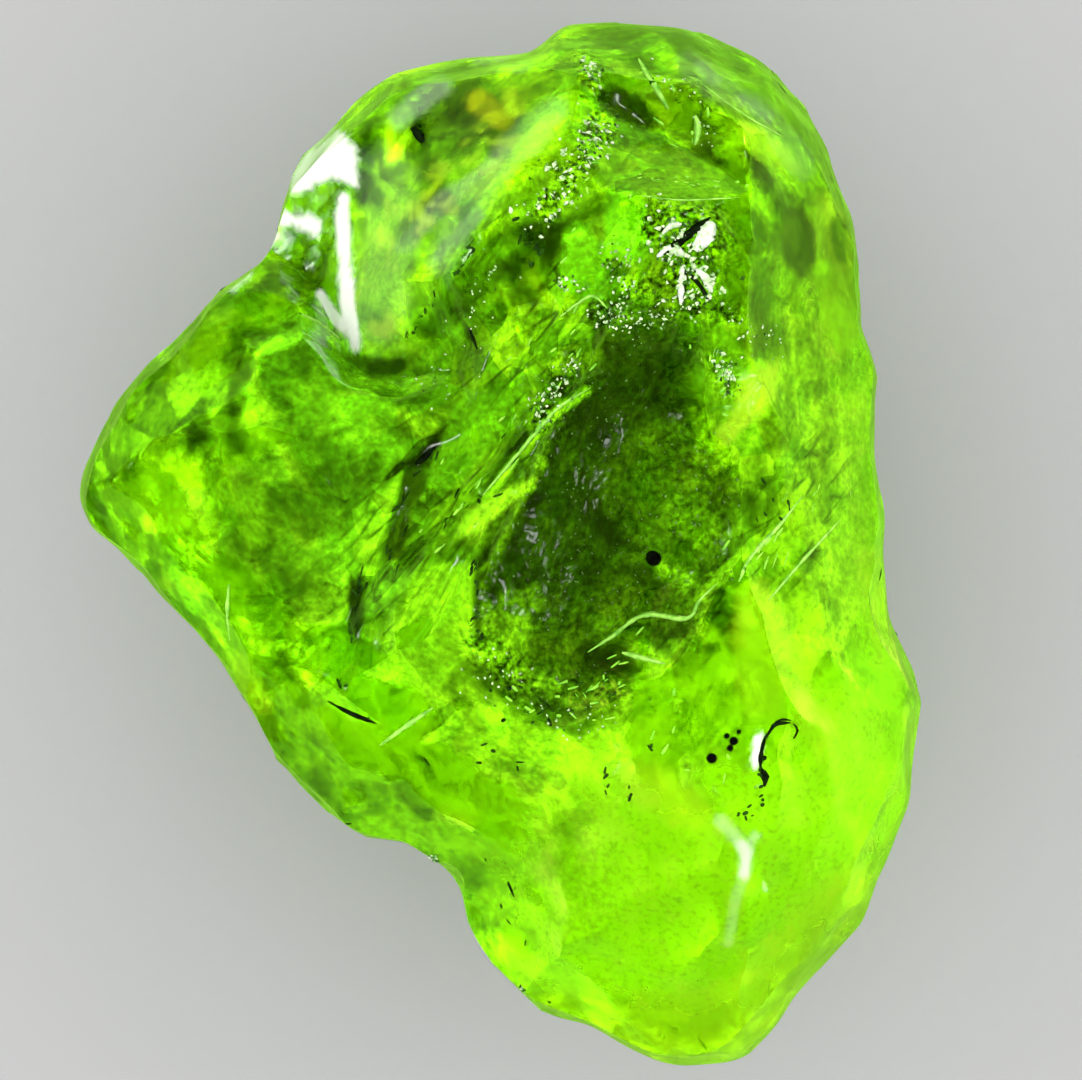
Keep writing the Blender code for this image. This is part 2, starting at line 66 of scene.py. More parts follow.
# %% [markdown]
# ## Units and tools
#
# The frame is in metres, which is clumsy for a stone of 14 mm. All sizes in this lesson are in
# millimetres, and every mesh is scaled once, when it is made. X runs to the right and Y up the picture.
# Most steps work on all the corners of a mesh at once, as arrays, so that they stay fast.

# %% Imports and units
import math
import random

import bmesh
import bpy
import numpy as np
from mathutils import Vector, noise
from mathutils.bvhtree import BVHTree

MM = 0.001
STONE = "peridot_crystal"
low, high = (np.array(corner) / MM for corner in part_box(STONE))
print("the stone is", (high - low).round(2), "mm")

# %% [markdown]
# ## From flat triangles to a fine surface
#
# A broken crystal has two kinds of line: ridges where two breaks meet, which stay sharp, and the soft
# hollows within a break. Blender's Subdivision Surface modifier works best on four-sided faces, and
# this solid is all triangles. Loop's rule is made for triangles: each is split in four, new corners
# settle between their neighbours, and corners on a sharp edge only follow that edge. It takes a few
# lines of array code, so it is written out here.

# %% Read the solid's triangles, with shared corners
WELD = 1e-7  # metres


def welded(node):
    """The corners in millimetres and the triangles of a node, with doubled corners joined."""
    mesh = bmesh.new()
    mesh.from_mesh(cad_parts[node].data)
    bmesh.ops.remove_doubles(mesh, verts=mesh.verts[:], dist=WELD)
    bmesh.ops.triangulate(mesh, faces=mesh.faces[:])
    corners = np.array([corner.co for corner in mesh.verts]) / MM
    triangles = np.array([[corner.index for corner in face.verts] for face in mesh.faces])
    mesh.free()
    return corners, triangles


corners, triangles = welded(STONE)
print(len(corners), "corners and", len(triangles), "triangles")

# %% Loop's rule, with sharp edges kept
SHARP_OVER = 21.0  # degrees between the faces on both sides
ROUNDS = 2
SHORTEST = 1e-12  # a length that is safe to divide by


def crossed(points, faces):
    """The normal of each triangle, as long as twice its area."""
    first, second, third = (points[faces[:, index]] for index in range(3))
    return np.cross(second - first, third - first)


def unit(vectors):
    """The vectors at length 1."""
    return vectors / np.maximum(np.linalg.norm(vectors, axis=1, keepdims=True), SHORTEST)


def edge_table(faces):
    """The edges of a closed mesh: their ends, the three edges of each face, and their two faces."""
    sides = np.concatenate([faces[:, [0, 1]], faces[:, [1, 2]], faces[:, [2, 0]]])
    ends, which = np.unique(np.sort(sides, axis=1), axis=0, return_inverse=True)
    which = which.reshape(-1)
    order = np.argsort(which, kind="stable")
    both = (order % len(faces)).reshape(-1, 2)
    return ends, which.reshape(3, -1).T, both


def sharp_edges(points, faces):
    """Which edges of the mesh are ridges or clefts."""
    both = edge_table(faces)[2]
    normals = unit(crossed(points, faces))
    return (normals[both[:, 0]] * normals[both[:, 1]]).sum(axis=1) < math.cos(math.radians(SHARP_OVER))


def refined(points, faces, sharp):
    """The corners, triangles and sharp edges after one round of Loop's rule, with the rule's own shares."""
    ends, of_face, both = edge_table(faces)
    first, second = points[ends[:, 0]], points[ends[:, 1]]
    whole = points[faces].sum(axis=1)
    apart = whole[both[:, 0]] + whole[both[:, 1]] - 2 * (first + second)
    middles = np.where(sharp[:, None], (first + second) / 2, (first + second) * 3 / 8 + apart / 8)
    count = len(points)
    ring = np.zeros((count, 3))
    along = np.zeros((count, 3))
    spokes = np.bincount(ends.ravel(), minlength=count)
    creases = np.bincount(ends[sharp].ravel(), minlength=count)
    for near, far in ((0, 1), (1, 0)):
        np.add.at(ring, ends[:, near], points[ends[:, far]])
        np.add.at(along, ends[sharp, near], points[ends[sharp, far]])
    pull = 0.375 + 0.25 * np.cos(2 * math.pi / spokes)
    share = ((0.625 - pull**2) / spokes)[:, None]
    moved = points * (1 - spokes[:, None] * share) + ring * share
    on_ridge = points * 0.75 + along / 8
    moved = np.where(creases[:, None] == 2, on_ridge, moved)
    moved = np.where(creases[:, None] > 2, points, moved)
    inner = of_face + count
    a, b, c = faces.T
    ab, bc, ca = inner.T
    quarters = ((a, ab, ca), (b, bc, ab), (c, ca, bc), (ab, bc, ca))
    split = np.concatenate([np.stack(quarter, axis=1) for quarter in quarters])
    new_ends = edge_table(split)[0]
    ridge_halves = set()
    for edge in np.flatnonzero(sharp):
        ridge_halves.add((int(ends[edge, 0]), int(edge) + count))
        ridge_halves.add((int(ends[edge, 1]), int(edge) + count))
    new_sharp = np.array([(int(start), int(end)) in ridge_halves for start, end in new_ends])
    return np.concatenate([moved, middles]), split, new_sharp


sharp = sharp_edges(corners, triangles)
for _ in range(ROUNDS):
    corners, triangles, sharp = refined(corners, triangles, sharp)
print("after", ROUNDS, "rounds:", len(triangles), "triangles,", int(sharp.sum()), "sharp edges")

# %% [markdown]
# ## Noise
#
# Nothing on a broken stone is even, so noise bends every edge, breaks up every patch and raises every
# bump. It is worked out once for each corner. A noise of one size looks made, so most are sums of a
# wide one and finer ones, each given by its weight, the spacing of its bumps and its seed.

# %% Noise and normals
SEED_SHIFT = (17.3, 5.1, 9.7)  # how far each seed moves the noise


def smooth(value):
    """0 below 0, 1 above 1, and an even S-curve between."""
    value = np.clip(value, 0.0, 1.0)
    return value * value * (3 - 2 * value)


def wandering(points, spacing, seed):
    """Smooth noise from about -1 to 1 at each point, with bumps that far apart."""
    shift = Vector([seed * along for along in SEED_SHIFT])
    return np.array([noise.noise(Vector(point) / spacing + shift) for point in points])


def layered(layers):
    """The sum of several noises at each corner, from rows of a weight, a spacing and a seed."""
    return sum(weight * wandering(corners, spacing, seed) for weight, spacing, seed in layers)


def corner_normals(points, faces):
    """The unit normal of each corner, as the mean of its triangles' normals by their areas."""
    areas = crossed(points, faces)
    total = np.zeros(points.shape)
    for index in range(3):
        np.add.at(total, faces[:, index], areas)
    return unit(total)


print("noise at the first corner:", round(float(wandering(corners[:1], 0.9, 1)[0]), 3))

# %% [markdown]
# ## Named places on the stone
#
# A stone has no parts to hang a finish on, so its places are given as simple outlines and strokes, as
# a painter would lay them down, in pixels of a picture taken from straight above. A stroke is one row
# of numbers: x and y of each point on its line, its width, and how strong it is. A mask says for each
# corner how much it belongs to a place, from 0 to 1, with an edge that noise makes ragged. The masks
# are kept on the mesh as attributes, where the material can read them. Nodes alone could do this too,
# but they would be worked out again for every ray of light, and rays meet a clear stone many times.

# %% From the stone to the picture
PIXELS_PER_MM = 75.0
PICTURE_SIZE = (1082, 1080)
STONE_MIDDLE = (500.0, 544.0)  # where the stone's own origin lies in the picture


def in_picture(points):
    """Where points in millimetres are seen in the picture from above, in pixels."""
    right = STONE_MIDDLE[0] + PIXELS_PER_MM * points[:, 0]
    down = STONE_MIDDLE[1] - PIXELS_PER_MM * points[:, 1]
    return np.stack((right, down), axis=1)


def to_line(pixels, line):
    """How far each pixel is from a line of straight stretches."""
    nearest = np.full(len(pixels), np.inf)
    for start, end in zip(np.array(line[:-1], float), np.array(line[1:], float)):
        side = end - start
        share = np.clip((pixels - start) @ side / (side @ side), 0, 1)
        nearest = np.minimum(nearest, np.linalg.norm(pixels - start - share[:, None] * side, axis=1))
    return nearest


def into_outline(pixels, outline):
    """How far each pixel is inside a closed outline, and less than 0 outside."""
    x, y = pixels.T
    inside = np.zeros(len(pixels), bool)
    closed = (*outline, outline[0])
    for start, end in zip(closed[:-1], closed[1:]):
        if start[1] != end[1]:
            crossing = start[0] + (y - start[1]) * (end[0] - start[0]) / (end[1] - start[1])
            inside ^= ((start[1] > y) != (end[1] > y)) & (x < crossing)
    nearest = to_line(pixels, closed)
    return np.where(inside, nearest, -nearest)


FRONT_FROM, FRONT_TO = 3.2, 4.2  # the heights between which the front takes over from the back
FACING_GAIN = 2.5  # how soon a face that tilts up counts as facing the picture
STROKE_RAGGEDNESS, STROKE_GAIN = 0.35, 1.6
RAGGED_LAYERS = ((1.0, 0.9, 1), (0.6, 0.32, 2), (0.4, 0.14, 3))
pixels = in_picture(corners)
front = smooth((corners[:, 2] - FRONT_FROM) / (FRONT_TO - FRONT_FROM))
normals = corner_normals(corners, triangles)
facing = smooth(normals[:, 2] * FACING_GAIN)
ragged = layered(RAGGED_LAYERS)


def place(outline, edge, raggedness):
    """The mask of an outline on the front, with the width and the raggedness of its edge in pixels."""
    return facing * smooth((into_outline(pixels, outline) + raggedness * ragged) / edge + 0.5)


def stroke(row, through=False):
    """The mask of a stroke, on the front or all through, fading out to either side of its line."""
    *line, width, strength = row
    away = to_line(pixels, np.reshape(line, (-1, 2))) + STROKE_RAGGEDNESS * width * ragged
    return strength * (1.0 if through else facing) * smooth((1.0 - away / width) * STROKE_GAIN)


def strokes(table, through=False):
    """The strongest of several strokes at each corner."""
    return np.max([stroke(row, through) for row in table], axis=0)


print("share of the stone's corners on the front:", round(float(front.mean()), 2))

# %% [markdown]
# ## Light and shade from inside
#
# Most of the patches on a clear stone aren't on its surface: they are its back faces, seen through the
# front after many bends. To get them by form alone, the back would have to be known to a hair, so they
# are laid down here as one more mask. Strokes bring light to some places and take it from others, as
# glazes would. The result tints the clear surface, and the real bends of light play on top of it.

# %% Brushes for light
def brighter(light, table):
    """The light after strokes that each bring it some of the way to 1."""
    for row in table:
        light = light + (1.0 - light) * stroke(row)
    return light


def dimmer(light, table):
    """The light after strokes that each take a share of it."""
    for row in table:
        light = light * (1.0 - stroke(row))
    return light


print("two brushes for light ready")

# %% Where light pools
LIT_STROKES = (
    # the blade
    (600, 100, 560, 130, 520, 180, 490, 230, 20, 0.55), (515, 80, 540, 58, 20, 0.8),
    (284, 242, 301, 250, 12, 0.8), (551, 124, 500, 192, 444, 276, 405, 324, 14, 0.5),
    (388, 130, 396, 158, 13, 0.8), (404, 302, 430, 268, 14, 0.6),
    # the crown
    (590, 230, 580, 300, 530, 350, 500, 380, 34, 0.35), (575, 245, 597, 275, 20, 0.9),
    (615, 280, 640, 300, 14, 0.6), (620, 225, 625, 260, 20, 0.8), (620, 160, 700, 175, 740, 200, 18, 0.15),
    # the right shoulder
    (810, 255, 818, 270, 12, 0.6), (740, 145, 795, 185, 22, 0.7), (730, 62, 790, 105, 825, 165, 26, 0.35),
    # the right side
    (855, 420, 858, 560, 866, 680, 56, 0.6), (840, 330, 840, 420, 36, 0.2),
    (765, 370, 740, 430, 705, 460, 24, 0.75), (778, 620, 790, 700, 50, 0.9),
    (800, 500, 760, 560, 740, 600, 26, 0.4),
    # the lobe
    (172, 490, 205, 560, 235, 640, 46, 0.75), (124, 492, 132, 520, 145, 555, 24, 0.6),
    (255, 400, 280, 470, 22, 0.6), (215, 325, 232, 318, 14, 0.5),
    # the streaks
    (338, 405, 352, 430, 20, 0.4), (445, 590, 420, 640, 390, 700, 42, 0.9), (268, 668, 284, 686, 13, 0.5),
    (372, 572, 382, 592, 12, 0.6), (412, 420, 438, 434, 14, 0.6), (378, 505, 350, 560, 342, 665, 24, 0.55),
    (345, 455, 372, 430, 388, 450, 20, 0.6), (466, 560, 474, 592, 12, 0.5),
    # the window
    (420, 690, 500, 745, 600, 750, 24, 0.7), (640, 745, 690, 700, 740, 650, 26, 0.8),
    (645, 740, 690, 690, 720, 650, 36, 1.0), (700, 700, 740, 700, 22, 0.8),
    (590, 360, 540, 420, 480, 500, 12, 0.5),
    # the lower left
    (300, 620, 320, 690, 360, 760, 390, 820, 40, 0.95), (415, 715, 450, 765, 22, 0.7),
    (290, 690, 300, 730, 22, 0.5), (362, 684, 345, 738, 400, 726, 440, 745, 24, 0.75),
    (240, 660, 270, 720, 18, 0.4),
    # the toe
    (560, 800, 640, 900, 760, 900, 840, 760, 190, 1.0), (680, 1000, 760, 960, 110, 1.0),
    (520, 960, 600, 1010, 60, 0.8),
)
SOFT_STROKES = (
    (600, 880, 720, 920, 820, 800, 130, 1.0), (860, 400, 870, 640, 40, 0.7),
    (376, 318, 396, 232, 450, 180, 540, 126, 36, 0.9),
)
FRONT_LIGHT = 0.445
BACK_LIGHT, BACK_MOTTLE = 0.9, 0.25
MOTTLE, MOTTLE_CONTRAST = 0.30, 1.5
MOTTLE_LAYERS = ((1.0, 0.75, 4), (0.7, 0.33, 5))
soft = strokes(SOFT_STROKES)
mottle = layered(MOTTLE_LAYERS)
light = FRONT_LIGHT * front + (1 - front) * (BACK_LIGHT - BACK_MOTTLE * smooth(mottle + 0.5))
light = brighter(light, LIT_STROKES)
light *= 1.0 - MOTTLE * (1.0 - light**2) * (1.0 - soft) * smooth(mottle * MOTTLE_CONTRAST + 0.5)
print("mean light before the shade:", round(float(light[front > 0.5].mean()), 2))

# %% Where light fails
WINDOW = (
    (592, 350), (540, 430), (490, 530), (475, 620), (500, 690), (570, 725), (615, 700),
    (640, 655), (690, 630), (725, 560), (735, 480), (700, 440), (700, 340), (640, 325),
)
WINDOW_EDGE, WINDOW_RAGGEDNESS = 24.0, 22.0
WINDOW_SHADE = 0.58
DIM_STROKES = (
    # the blade
    (430, 125, 455, 105, 500, 128, 30, 0.6), (418, 130, 424, 142, 11, 0.9), (376, 130, 370, 200, 18, 0.65),
    (425, 152, 438, 200, 22, 0.5), (455, 122, 480, 142, 22, 0.65), (366, 130, 362, 200, 11, 0.6),
    (465, 240, 485, 225, 16, 0.5), (520, 240, 556, 232, 18, 0.7), (455, 75, 480, 85, 18, 0.3),
    (460, 110, 490, 128, 22, 0.35), (470, 225, 450, 262, 20, 0.35), (530, 236, 540, 256, 512, 272, 22, 0.7),
    (500, 275, 430, 335, 18, 0.6), (290, 240, 320, 265, 300, 300, 18, 0.6), (268, 274, 325, 282, 16, 0.4),
    (412, 236, 442, 204, 18, 0.6), (505, 238, 450, 280, 13, 0.4), (448, 146, 488, 154, 18, 0.55),
    (400, 88, 440, 68, 20, 0.3), (518, 96, 548, 74, 22, 0.3), (366, 316, 386, 332, 15, 0.4),
    (254, 272, 276, 286, 15, 0.4), (506, 212, 526, 200, 12, 0.4), (512, 262, 528, 320, 18, 0.5),
    (430, 160, 488, 152, 20, 0.4), (446, 82, 482, 72, 18, 0.4), (382, 188, 428, 232, 26, 0.35),
    (470, 330, 478, 352, 7, 0.8), (462, 125, 480, 112, 14, 0.3), (412, 176, 436, 180, 16, 0.25),
    # the crown
    (700, 155, 716, 165, 14, 0.7), (630, 62, 660, 72, 16, 0.3), (575, 222, 604, 205, 13, 0.4),
    (606, 103, 626, 114, 642, 122, 17, 0.85), (700, 130, 715, 155, 16, 0.5), (720, 215, 722, 240, 16, 0.3),
    (572, 228, 600, 218, 12, 0.5), (600, 28, 670, 28, 730, 62, 26, 0.4), (545, 270, 556, 232, 12, 0.7),
    (700, 262, 712, 274, 10, 0.5), (596, 316, 660, 300, 730, 316, 18, 0.45), (566, 60, 584, 84, 14, 0.3),
    (578, 84, 594, 100, 14, 0.35),
    # the right shoulder
    (750, 165, 762, 190, 12, 0.7), (742, 222, 766, 268, 18, 0.35), (750, 158, 765, 182, 11, 0.7),
    (782, 212, 785, 240, 796, 262, 22, 0.4), (842, 222, 840, 262, 14, 0.45), (762, 240, 752, 330, 20, 0.3),
    (738, 290, 772, 352, 16, 0.3), (742, 160, 752, 180, 10, 0.4), (812, 196, 830, 210, 14, 0.3),
    (745, 165, 775, 215, 790, 250, 14, 0.35),
    # the right side
    (740, 345, 765, 358, 14, 0.45), (745, 500, 760, 510, 14, 0.45), (840, 380, 862, 470, 866, 580, 30, 0.2),
    (826, 412, 830, 480, 14, 0.35), (738, 494, 750, 522, 13, 0.5), (816, 470, 822, 520, 16, 0.3),
    (740, 350, 760, 356, 13, 0.3),
    # the lobe
    (202, 372, 196, 430, 22, 0.5), (296, 600, 306, 610, 14, 0.4), (272, 620, 284, 645, 18, 0.45),
    (240, 290, 170, 360, 110, 450, 92, 490, 36, 0.45), (252, 338, 246, 372, 238, 408, 13, 0.65),
    (188, 422, 198, 436, 13, 0.7), (234, 400, 242, 446, 11, 0.6), (228, 350, 262, 336, 22, 0.55),
    (226, 524, 236, 556, 22, 0.45), (330, 405, 336, 455, 16, 0.3), (286, 500, 310, 520, 24, 0.5),
    (262, 560, 296, 590, 28, 0.4), (322, 492, 344, 476, 28, 0.4), (213, 608, 240, 640, 18, 0.3),
    (298, 350, 345, 382, 26, 0.3), (262, 450, 276, 470, 14, 0.35), (148, 440, 206, 446, 15, 0.3),
    (168, 582, 240, 684, 16, 0.3), (236, 366, 238, 400, 10, 0.4), (300, 420, 318, 440, 16, 0.25),
    (225, 410, 240, 440, 16, 0.25), (178, 374, 206, 402, 26, 0.28), (226, 362, 236, 388, 14, 0.25),
    # the streaks
    (430, 470, 420, 500, 10, 0.4), (374, 370, 404, 366, 8, 0.8), (400, 366, 374, 372, 12, 0.6),
    (428, 505, 450, 492, 6, 0.6), (402, 470, 418, 490, 9, 0.5), (400, 535, 404, 560, 9, 0.5),
    (330, 342, 370, 366, 400, 368, 11, 0.8), (447, 428, 418, 470, 8, 0.8), (410, 484, 388, 558, 9, 0.6),
    (362, 576, 354, 636, 8, 0.5), (437, 447, 415, 466, 11, 0.95), (410, 468, 425, 488, 12, 0.4),
    (376, 470, 368, 495, 7, 0.5), (420, 545, 485, 560, 26, 0.5), (288, 668, 302, 682, 10, 0.5),
    (385, 396, 406, 408, 12, 0.4), (400, 420, 408, 400, 12, 0.3), (404, 560, 440, 585, 16, 0.3),
    # the window
    (640, 352, 645, 400, 592, 440, 575, 540, 520, 580, 60, 0.62), (560, 640, 520, 680, 600, 695, 34, 0.4),
    (572, 355, 584, 398, 16, 0.5), (488, 672, 510, 694, 15, 0.6), (520, 708, 545, 716, 13, 0.5),
    (586, 650, 608, 656, 630, 660, 16, 0.75), (725, 600, 738, 620, 14, 0.5), (530, 503, 507, 548, 15, 0.7),
    (476, 560, 480, 640, 8, 0.7), (545, 706, 580, 722, 604, 708, 15, 0.7), (600, 655, 630, 655, 12, 0.4),
    (636, 572, 655, 582, 12, 0.6), (580, 415, 600, 432, 18, 0.55), (470, 350, 482, 392, 24, 0.4),
    (585, 508, 606, 528, 624, 542, 12, 0.55), (490, 578, 500, 602, 10, 0.5), (655, 468, 692, 474, 18, 0.35),
    (655, 626, 692, 634, 13, 0.4), (598, 338, 603, 364, 10, 0.5), (548, 384, 562, 404, 14, 0.55),
    (500, 402, 462, 440, 16, 0.25), (524, 432, 470, 520, 8, 0.6), (520, 440, 480, 492, 12, 0.65),
    (536, 500, 494, 554, 15, 0.75), (474, 666, 486, 694, 12, 0.5), (722, 618, 732, 645, 15, 0.6),
    (590, 664, 625, 673, 13, 0.6), (660, 405, 678, 436, 17, 0.4), (566, 664, 584, 680, 11, 0.4),
    (600, 432, 612, 452, 13, 0.5), (546, 466, 524, 508, 498, 544, 11, 0.4), (690, 370, 725, 385, 22, 0.2),
    # the lower left
    (365, 790, 385, 800, 18, 0.4), (462, 700, 480, 726, 12, 0.4), (352, 792, 392, 830, 18, 0.25),
    (266, 712, 286, 742, 16, 0.4), (392, 782, 412, 796, 18, 0.35), (314, 776, 324, 790, 10, 0.6),
    (418, 808, 428, 814, 9, 0.6), (430, 750, 445, 760, 13, 0.35),
    # the toe
    (505, 770, 536, 786, 15, 0.4), (520, 800, 575, 850, 560, 900, 30, 0.12), (480, 732, 528, 778, 18, 0.25),
    (540, 768, 556, 778, 13, 0.5), (578, 820, 520, 880, 466, 872, 26, 0.35), (470, 870, 482, 920, 16, 0.35),
    (570, 850, 590, 900, 45, 0.15),
)
LATE_LIGHTS = (
    # the blade
    (535, 80, 552, 84, 12, 0.4), (240, 283, 256, 272, 11, 0.5),
    # the crown
    (600, 125, 612, 136, 11, 0.4), (720, 158, 734, 168, 12, 0.4), (590, 303, 642, 300, 9, 0.25),
    (540, 216, 556, 222, 9, 0.35),
    # the right side
    (798, 514, 812, 528, 14, 0.4), (850, 632, 858, 654, 16, 0.5), (798, 362, 806, 456, 13, 0.35),
    (775, 465, 796, 482, 16, 0.6),
    # the lobe
    (335, 344, 350, 350, 9, 0.5),
    # the window
    (512, 604, 517, 648, 18, 0.35), (692, 412, 700, 442, 8, 0.3), (530, 594, 536, 602, 11, 0.3),
    (515, 672, 532, 680, 12, 0.3), (538, 676, 552, 684, 12, 0.35), (488, 610, 492, 634, 12, 0.35),
    (664, 478, 680, 484, 13, 0.12), (528, 456, 540, 464, 9, 0.35), (664, 570, 684, 580, 13, 0.35),
    (672, 512, 708, 530, 20, 0.2), (632, 442, 700, 428, 20, 0.07), (612, 472, 618, 505, 14, 0.06),
    (652, 736, 706, 720, 32, 0.8), (690, 486, 706, 542, 20, 0.15), (465, 529, 488, 514, 11, 0.9),
    (488, 514, 530, 487, 7, 0.8), (586, 394, 556, 414, 517, 458, 484, 500, 5, 0.7),
    (640, 650, 668, 664, 12, 0.6),
    # the lower left
    (420, 768, 432, 786, 15, 0.6), (320, 722, 360, 736, 425, 722, 26, 0.6), (335, 735, 355, 746, 16, 0.4),
    (396, 694, 412, 704, 14, 0.45),
    # the toe
    (476, 895, 486, 915, 14, 0.4), (492, 776, 506, 786, 14, 0.4), (552, 840, 572, 848, 15, 0.4),
)
window = place(WINDOW, WINDOW_EDGE, WINDOW_RAGGEDNESS)
light *= 1.0 - WINDOW_SHADE * window
light = dimmer(light, DIM_STROKES)
light = brighter(light, LATE_LIGHTS)
print("mean light on the front:", round(float(light[front > 0.5].mean()), 2))

# %% [markdown]
# ## Ridges and valleys
#
# A ridge of clear stone gathers light and a cleft loses it. Both lie where the shape says, on every
# side of the stone, so their masks come from its sharp edges: an edge is a ridge if the faces on both
# sides fall away from it. Each mask starts as the corners on such edges and is spread to their
# neighbours, the same as a brush of a few pixels. A fine grain comes last, as a rough break scatters
# light in points. It fades where the stone is soft or bright.

# %% Masks from the sharp edges
SPREADS, SPREAD_KEEPS = 2, 0.8
RIDGE_LIGHT, RIDGE_PATCHES, CLEFT_SHADE = 0.5, 0.8, 0.55
GRAIN, GRAIN_LOST_IN_SOFT, GRAIN_LIMIT = 0.42, 0.75, 1.2
GRAIN_LAYERS = ((1.0, 0.13, 11), (0.9, 0.07, 12))


def near_edges(points, faces, sharp, ridges):
    """How near each corner is to a ridge, or to a cleft, from 0 to 1."""
    ends, _, both = edge_table(faces)
    normals = unit(crossed(points, faces))
    middles = points[faces].mean(axis=1)
    across = middles[both[:, 1]] - middles[both[:, 0]]
    falls_away = (across * normals[both[:, 0]]).sum(axis=1) < 0
    chosen = ends[sharp & (falls_away == ridges)]
    values = np.zeros(len(points))
    values[chosen.ravel()] = 1.0
    neighbours = np.bincount(ends.ravel(), minlength=len(points))
    for _ in range(SPREADS):
        total = np.zeros(len(points))
        np.add.at(total, ends[:, 0], values[ends[:, 1]])
        np.add.at(total, ends[:, 1], values[ends[:, 0]])
        values = np.maximum(values * SPREAD_KEEPS, total / neighbours)
    return values


ridge = near_edges(corners, triangles, sharp, True)
cleft = near_edges(corners, triangles, sharp, False)
grain = layered(GRAIN_LAYERS)
light += (1.0 - light) * RIDGE_LIGHT * ridge * smooth(ragged * RIDGE_PATCHES + 0.5)
light *= 1.0 - CLEFT_SHADE * cleft
light *= 1.0 + GRAIN * (1.0 - GRAIN_LOST_IN_SOFT * soft) * (GRAIN_LIMIT - light**2) * grain
print("corners near a ridge:", int((ridge > 0.3).sum()), "and near a cleft:", int((cleft > 0.3).sum()))

# %% [markdown]
# ## Finishes by place
#
# The stone isn't finished alike all over: ridges are crushed, and the toe is pale, partly as painted
# light. Some faces carry painted sheen and others painted highlights, where they would mirror a light,
# and the window's olive goes with its painted shade. Each finish is a mask of its own, so the material
# can mix them.
# Faces that read as one clean patch are facets: an outline with crisp edges and its own light,
# paleness and greenness, laid over all the strokes.

# %% Where the stone is crushed, pale or green, and its painted sheen and highlights
CRUSHED_STROKES = (
    (585, 65, 592, 95, 17, 0.8), (600, 128, 565, 190, 548, 216, 20, 0.9),
    (660, 225, 700, 235, 690, 300, 650, 300, 34, 1.0), (600, 318, 660, 306, 730, 318, 18, 0.8),
    (572, 360, 545, 420, 18, 0.8), (716, 368, 728, 392, 18, 0.7), (690, 90, 720, 130, 14, 0.5),
    (480, 640, 530, 690, 610, 690, 26, 0.6), (700, 450, 690, 600, 40, 0.35),
)
# Painted sheen: a pale veil where a face would mirror a soft light.
PAINTED_SHEEN_STROKES = (
    (372, 320, 392, 240, 386, 180, 44, 0.8), (556, 115, 490, 175, 440, 262, 22, 1.0),
    (690, 70, 760, 120, 800, 165, 20, 0.6), (400, 122, 440, 88, 16, 2.2),
    (505, 158, 445, 205, 405, 250, 13, 1.5), (478, 218, 436, 262, 11, 1.8), (700, 72, 714, 84, 10, 1.5),
    (740, 104, 764, 120, 11, 1.5), (480, 60, 520, 62, 14, 0.9),
)
# Painted highlight: the white patch at the upper left, where a face would mirror a lamp.
PAINTED_HIGHLIGHT_PATCH = (
    (330, 122), (357, 150), (358, 188), (332, 180), (300, 192), (284, 192), (292, 168), (312, 140),
)
# Paleness is partly painted light: the toe's bottom, where light through it is brightest, goes paler, as
# green can rise no further.
PALE_STROKES = (
    (756, 600, 748, 634, 22, 1.2), (640, 776, 688, 806, 28, 1.7),
    (722, 822, 744, 850, 738, 890, 726, 935, 15, 0.9), (640, 1045, 720, 1030, 790, 970, 850, 900, 60, 1.5),
    (868, 560, 890, 680, 20, 0.5), (600, 870, 720, 940, 830, 820, 150, 0.14),
    (828, 215, 835, 340, 26, 0.35), (745, 636, 746, 684, 22, 0.7), (905, 720, 904, 820, 860, 900, 22, 0.4),
    (510, 98, 512, 116, 8, 0.9), (800, 716, 824, 752, 16, 0.9), (742, 950, 782, 972, 16, 1.2),
    (650, 1000, 700, 1020, 786, 1000, 22, 1.3), (840, 816, 866, 842, 15, 1.0),
    (506, 950, 534, 966, 14, 1.1), (802, 696, 820, 720, 20, 0.5), (560, 1000, 600, 1015, 20, 0.6),
    (240, 660, 262, 705, 12, 0.7), (440, 812, 470, 820, 10, 0.6),
)
GREEN_STROKES = (
    (620, 205, 630, 250, 24, 1.0), (575, 240, 597, 290, 22, 1.0),
    (300, 335, 350, 420, 400, 590, 370, 670, 85, 0.45), (250, 395, 256, 420, 14, 0.6),
    (505, 400, 425, 488, 30, 0.5), (500, 270, 440, 330, 40, 0.4), (175, 540, 195, 600, 24, 0.4),
    (490, 712, 500, 722, 16, 0.5),
)
YELLOWER_STROKES = (
    (700, 110, 790, 160, 800, 260, 770, 330, 60, 0.6), (820, 320, 835, 470, 30, 0.5),
    (290, 720, 430, 790, 60, 0.6), (645, 262, 665, 292, 18, 1.0), (505, 70, 525, 100, 20, 0.8),
    (540, 646, 566, 658, 18, 0.9), (742, 630, 742, 760, 24, 0.7), (265, 290, 300, 300, 16, 0.6),
    (110, 400, 80, 480, 22, 0.6), (640, 740, 690, 830, 40, 0.5), (650, 98, 700, 130, 730, 142, 28, 0.8),
    (612, 245, 665, 295, 22, 0.9), (690, 470, 720, 500, 24, 0.6),
)
RUSTY_STROKES = (
    (480, 104, 502, 124, 14, 0.4),
)
# Mostly painted highlights: the white strip and wedge of the notch and thin bright rims. The strokes in the
# toe are a white crack.
HIGHLIGHT_AND_CRACK_STROKES = (
    (344, 200, 345, 250, 348, 300, 356, 340, 9, 1.0), (321, 295, 338, 321, 354, 338, 6, 0.75),
    (346, 326, 352, 316, 357, 348, 8, 1.0), (282, 219, 300, 220, 314, 228, 11, 1.0),
    (256, 258, 268, 246, 277, 236, 6, 0.6), (455, 52, 500, 57, 541, 40, 8, 0.35),
    (232, 290, 249, 274, 5, 0.3), (738, 838, 744, 850, 742, 870, 8, 0.6), (718, 817, 737, 836, 9, 0.16),
    (753, 832, 746, 846, 6, 0.2), (741, 872, 733, 900, 727, 938, 8, 0.08), (755, 735, 752, 761, 6, 1.0),
)
print("white strokes:", len(HIGHLIGHT_AND_CRACK_STROKES), "and pale ones:", len(PALE_STROKES))

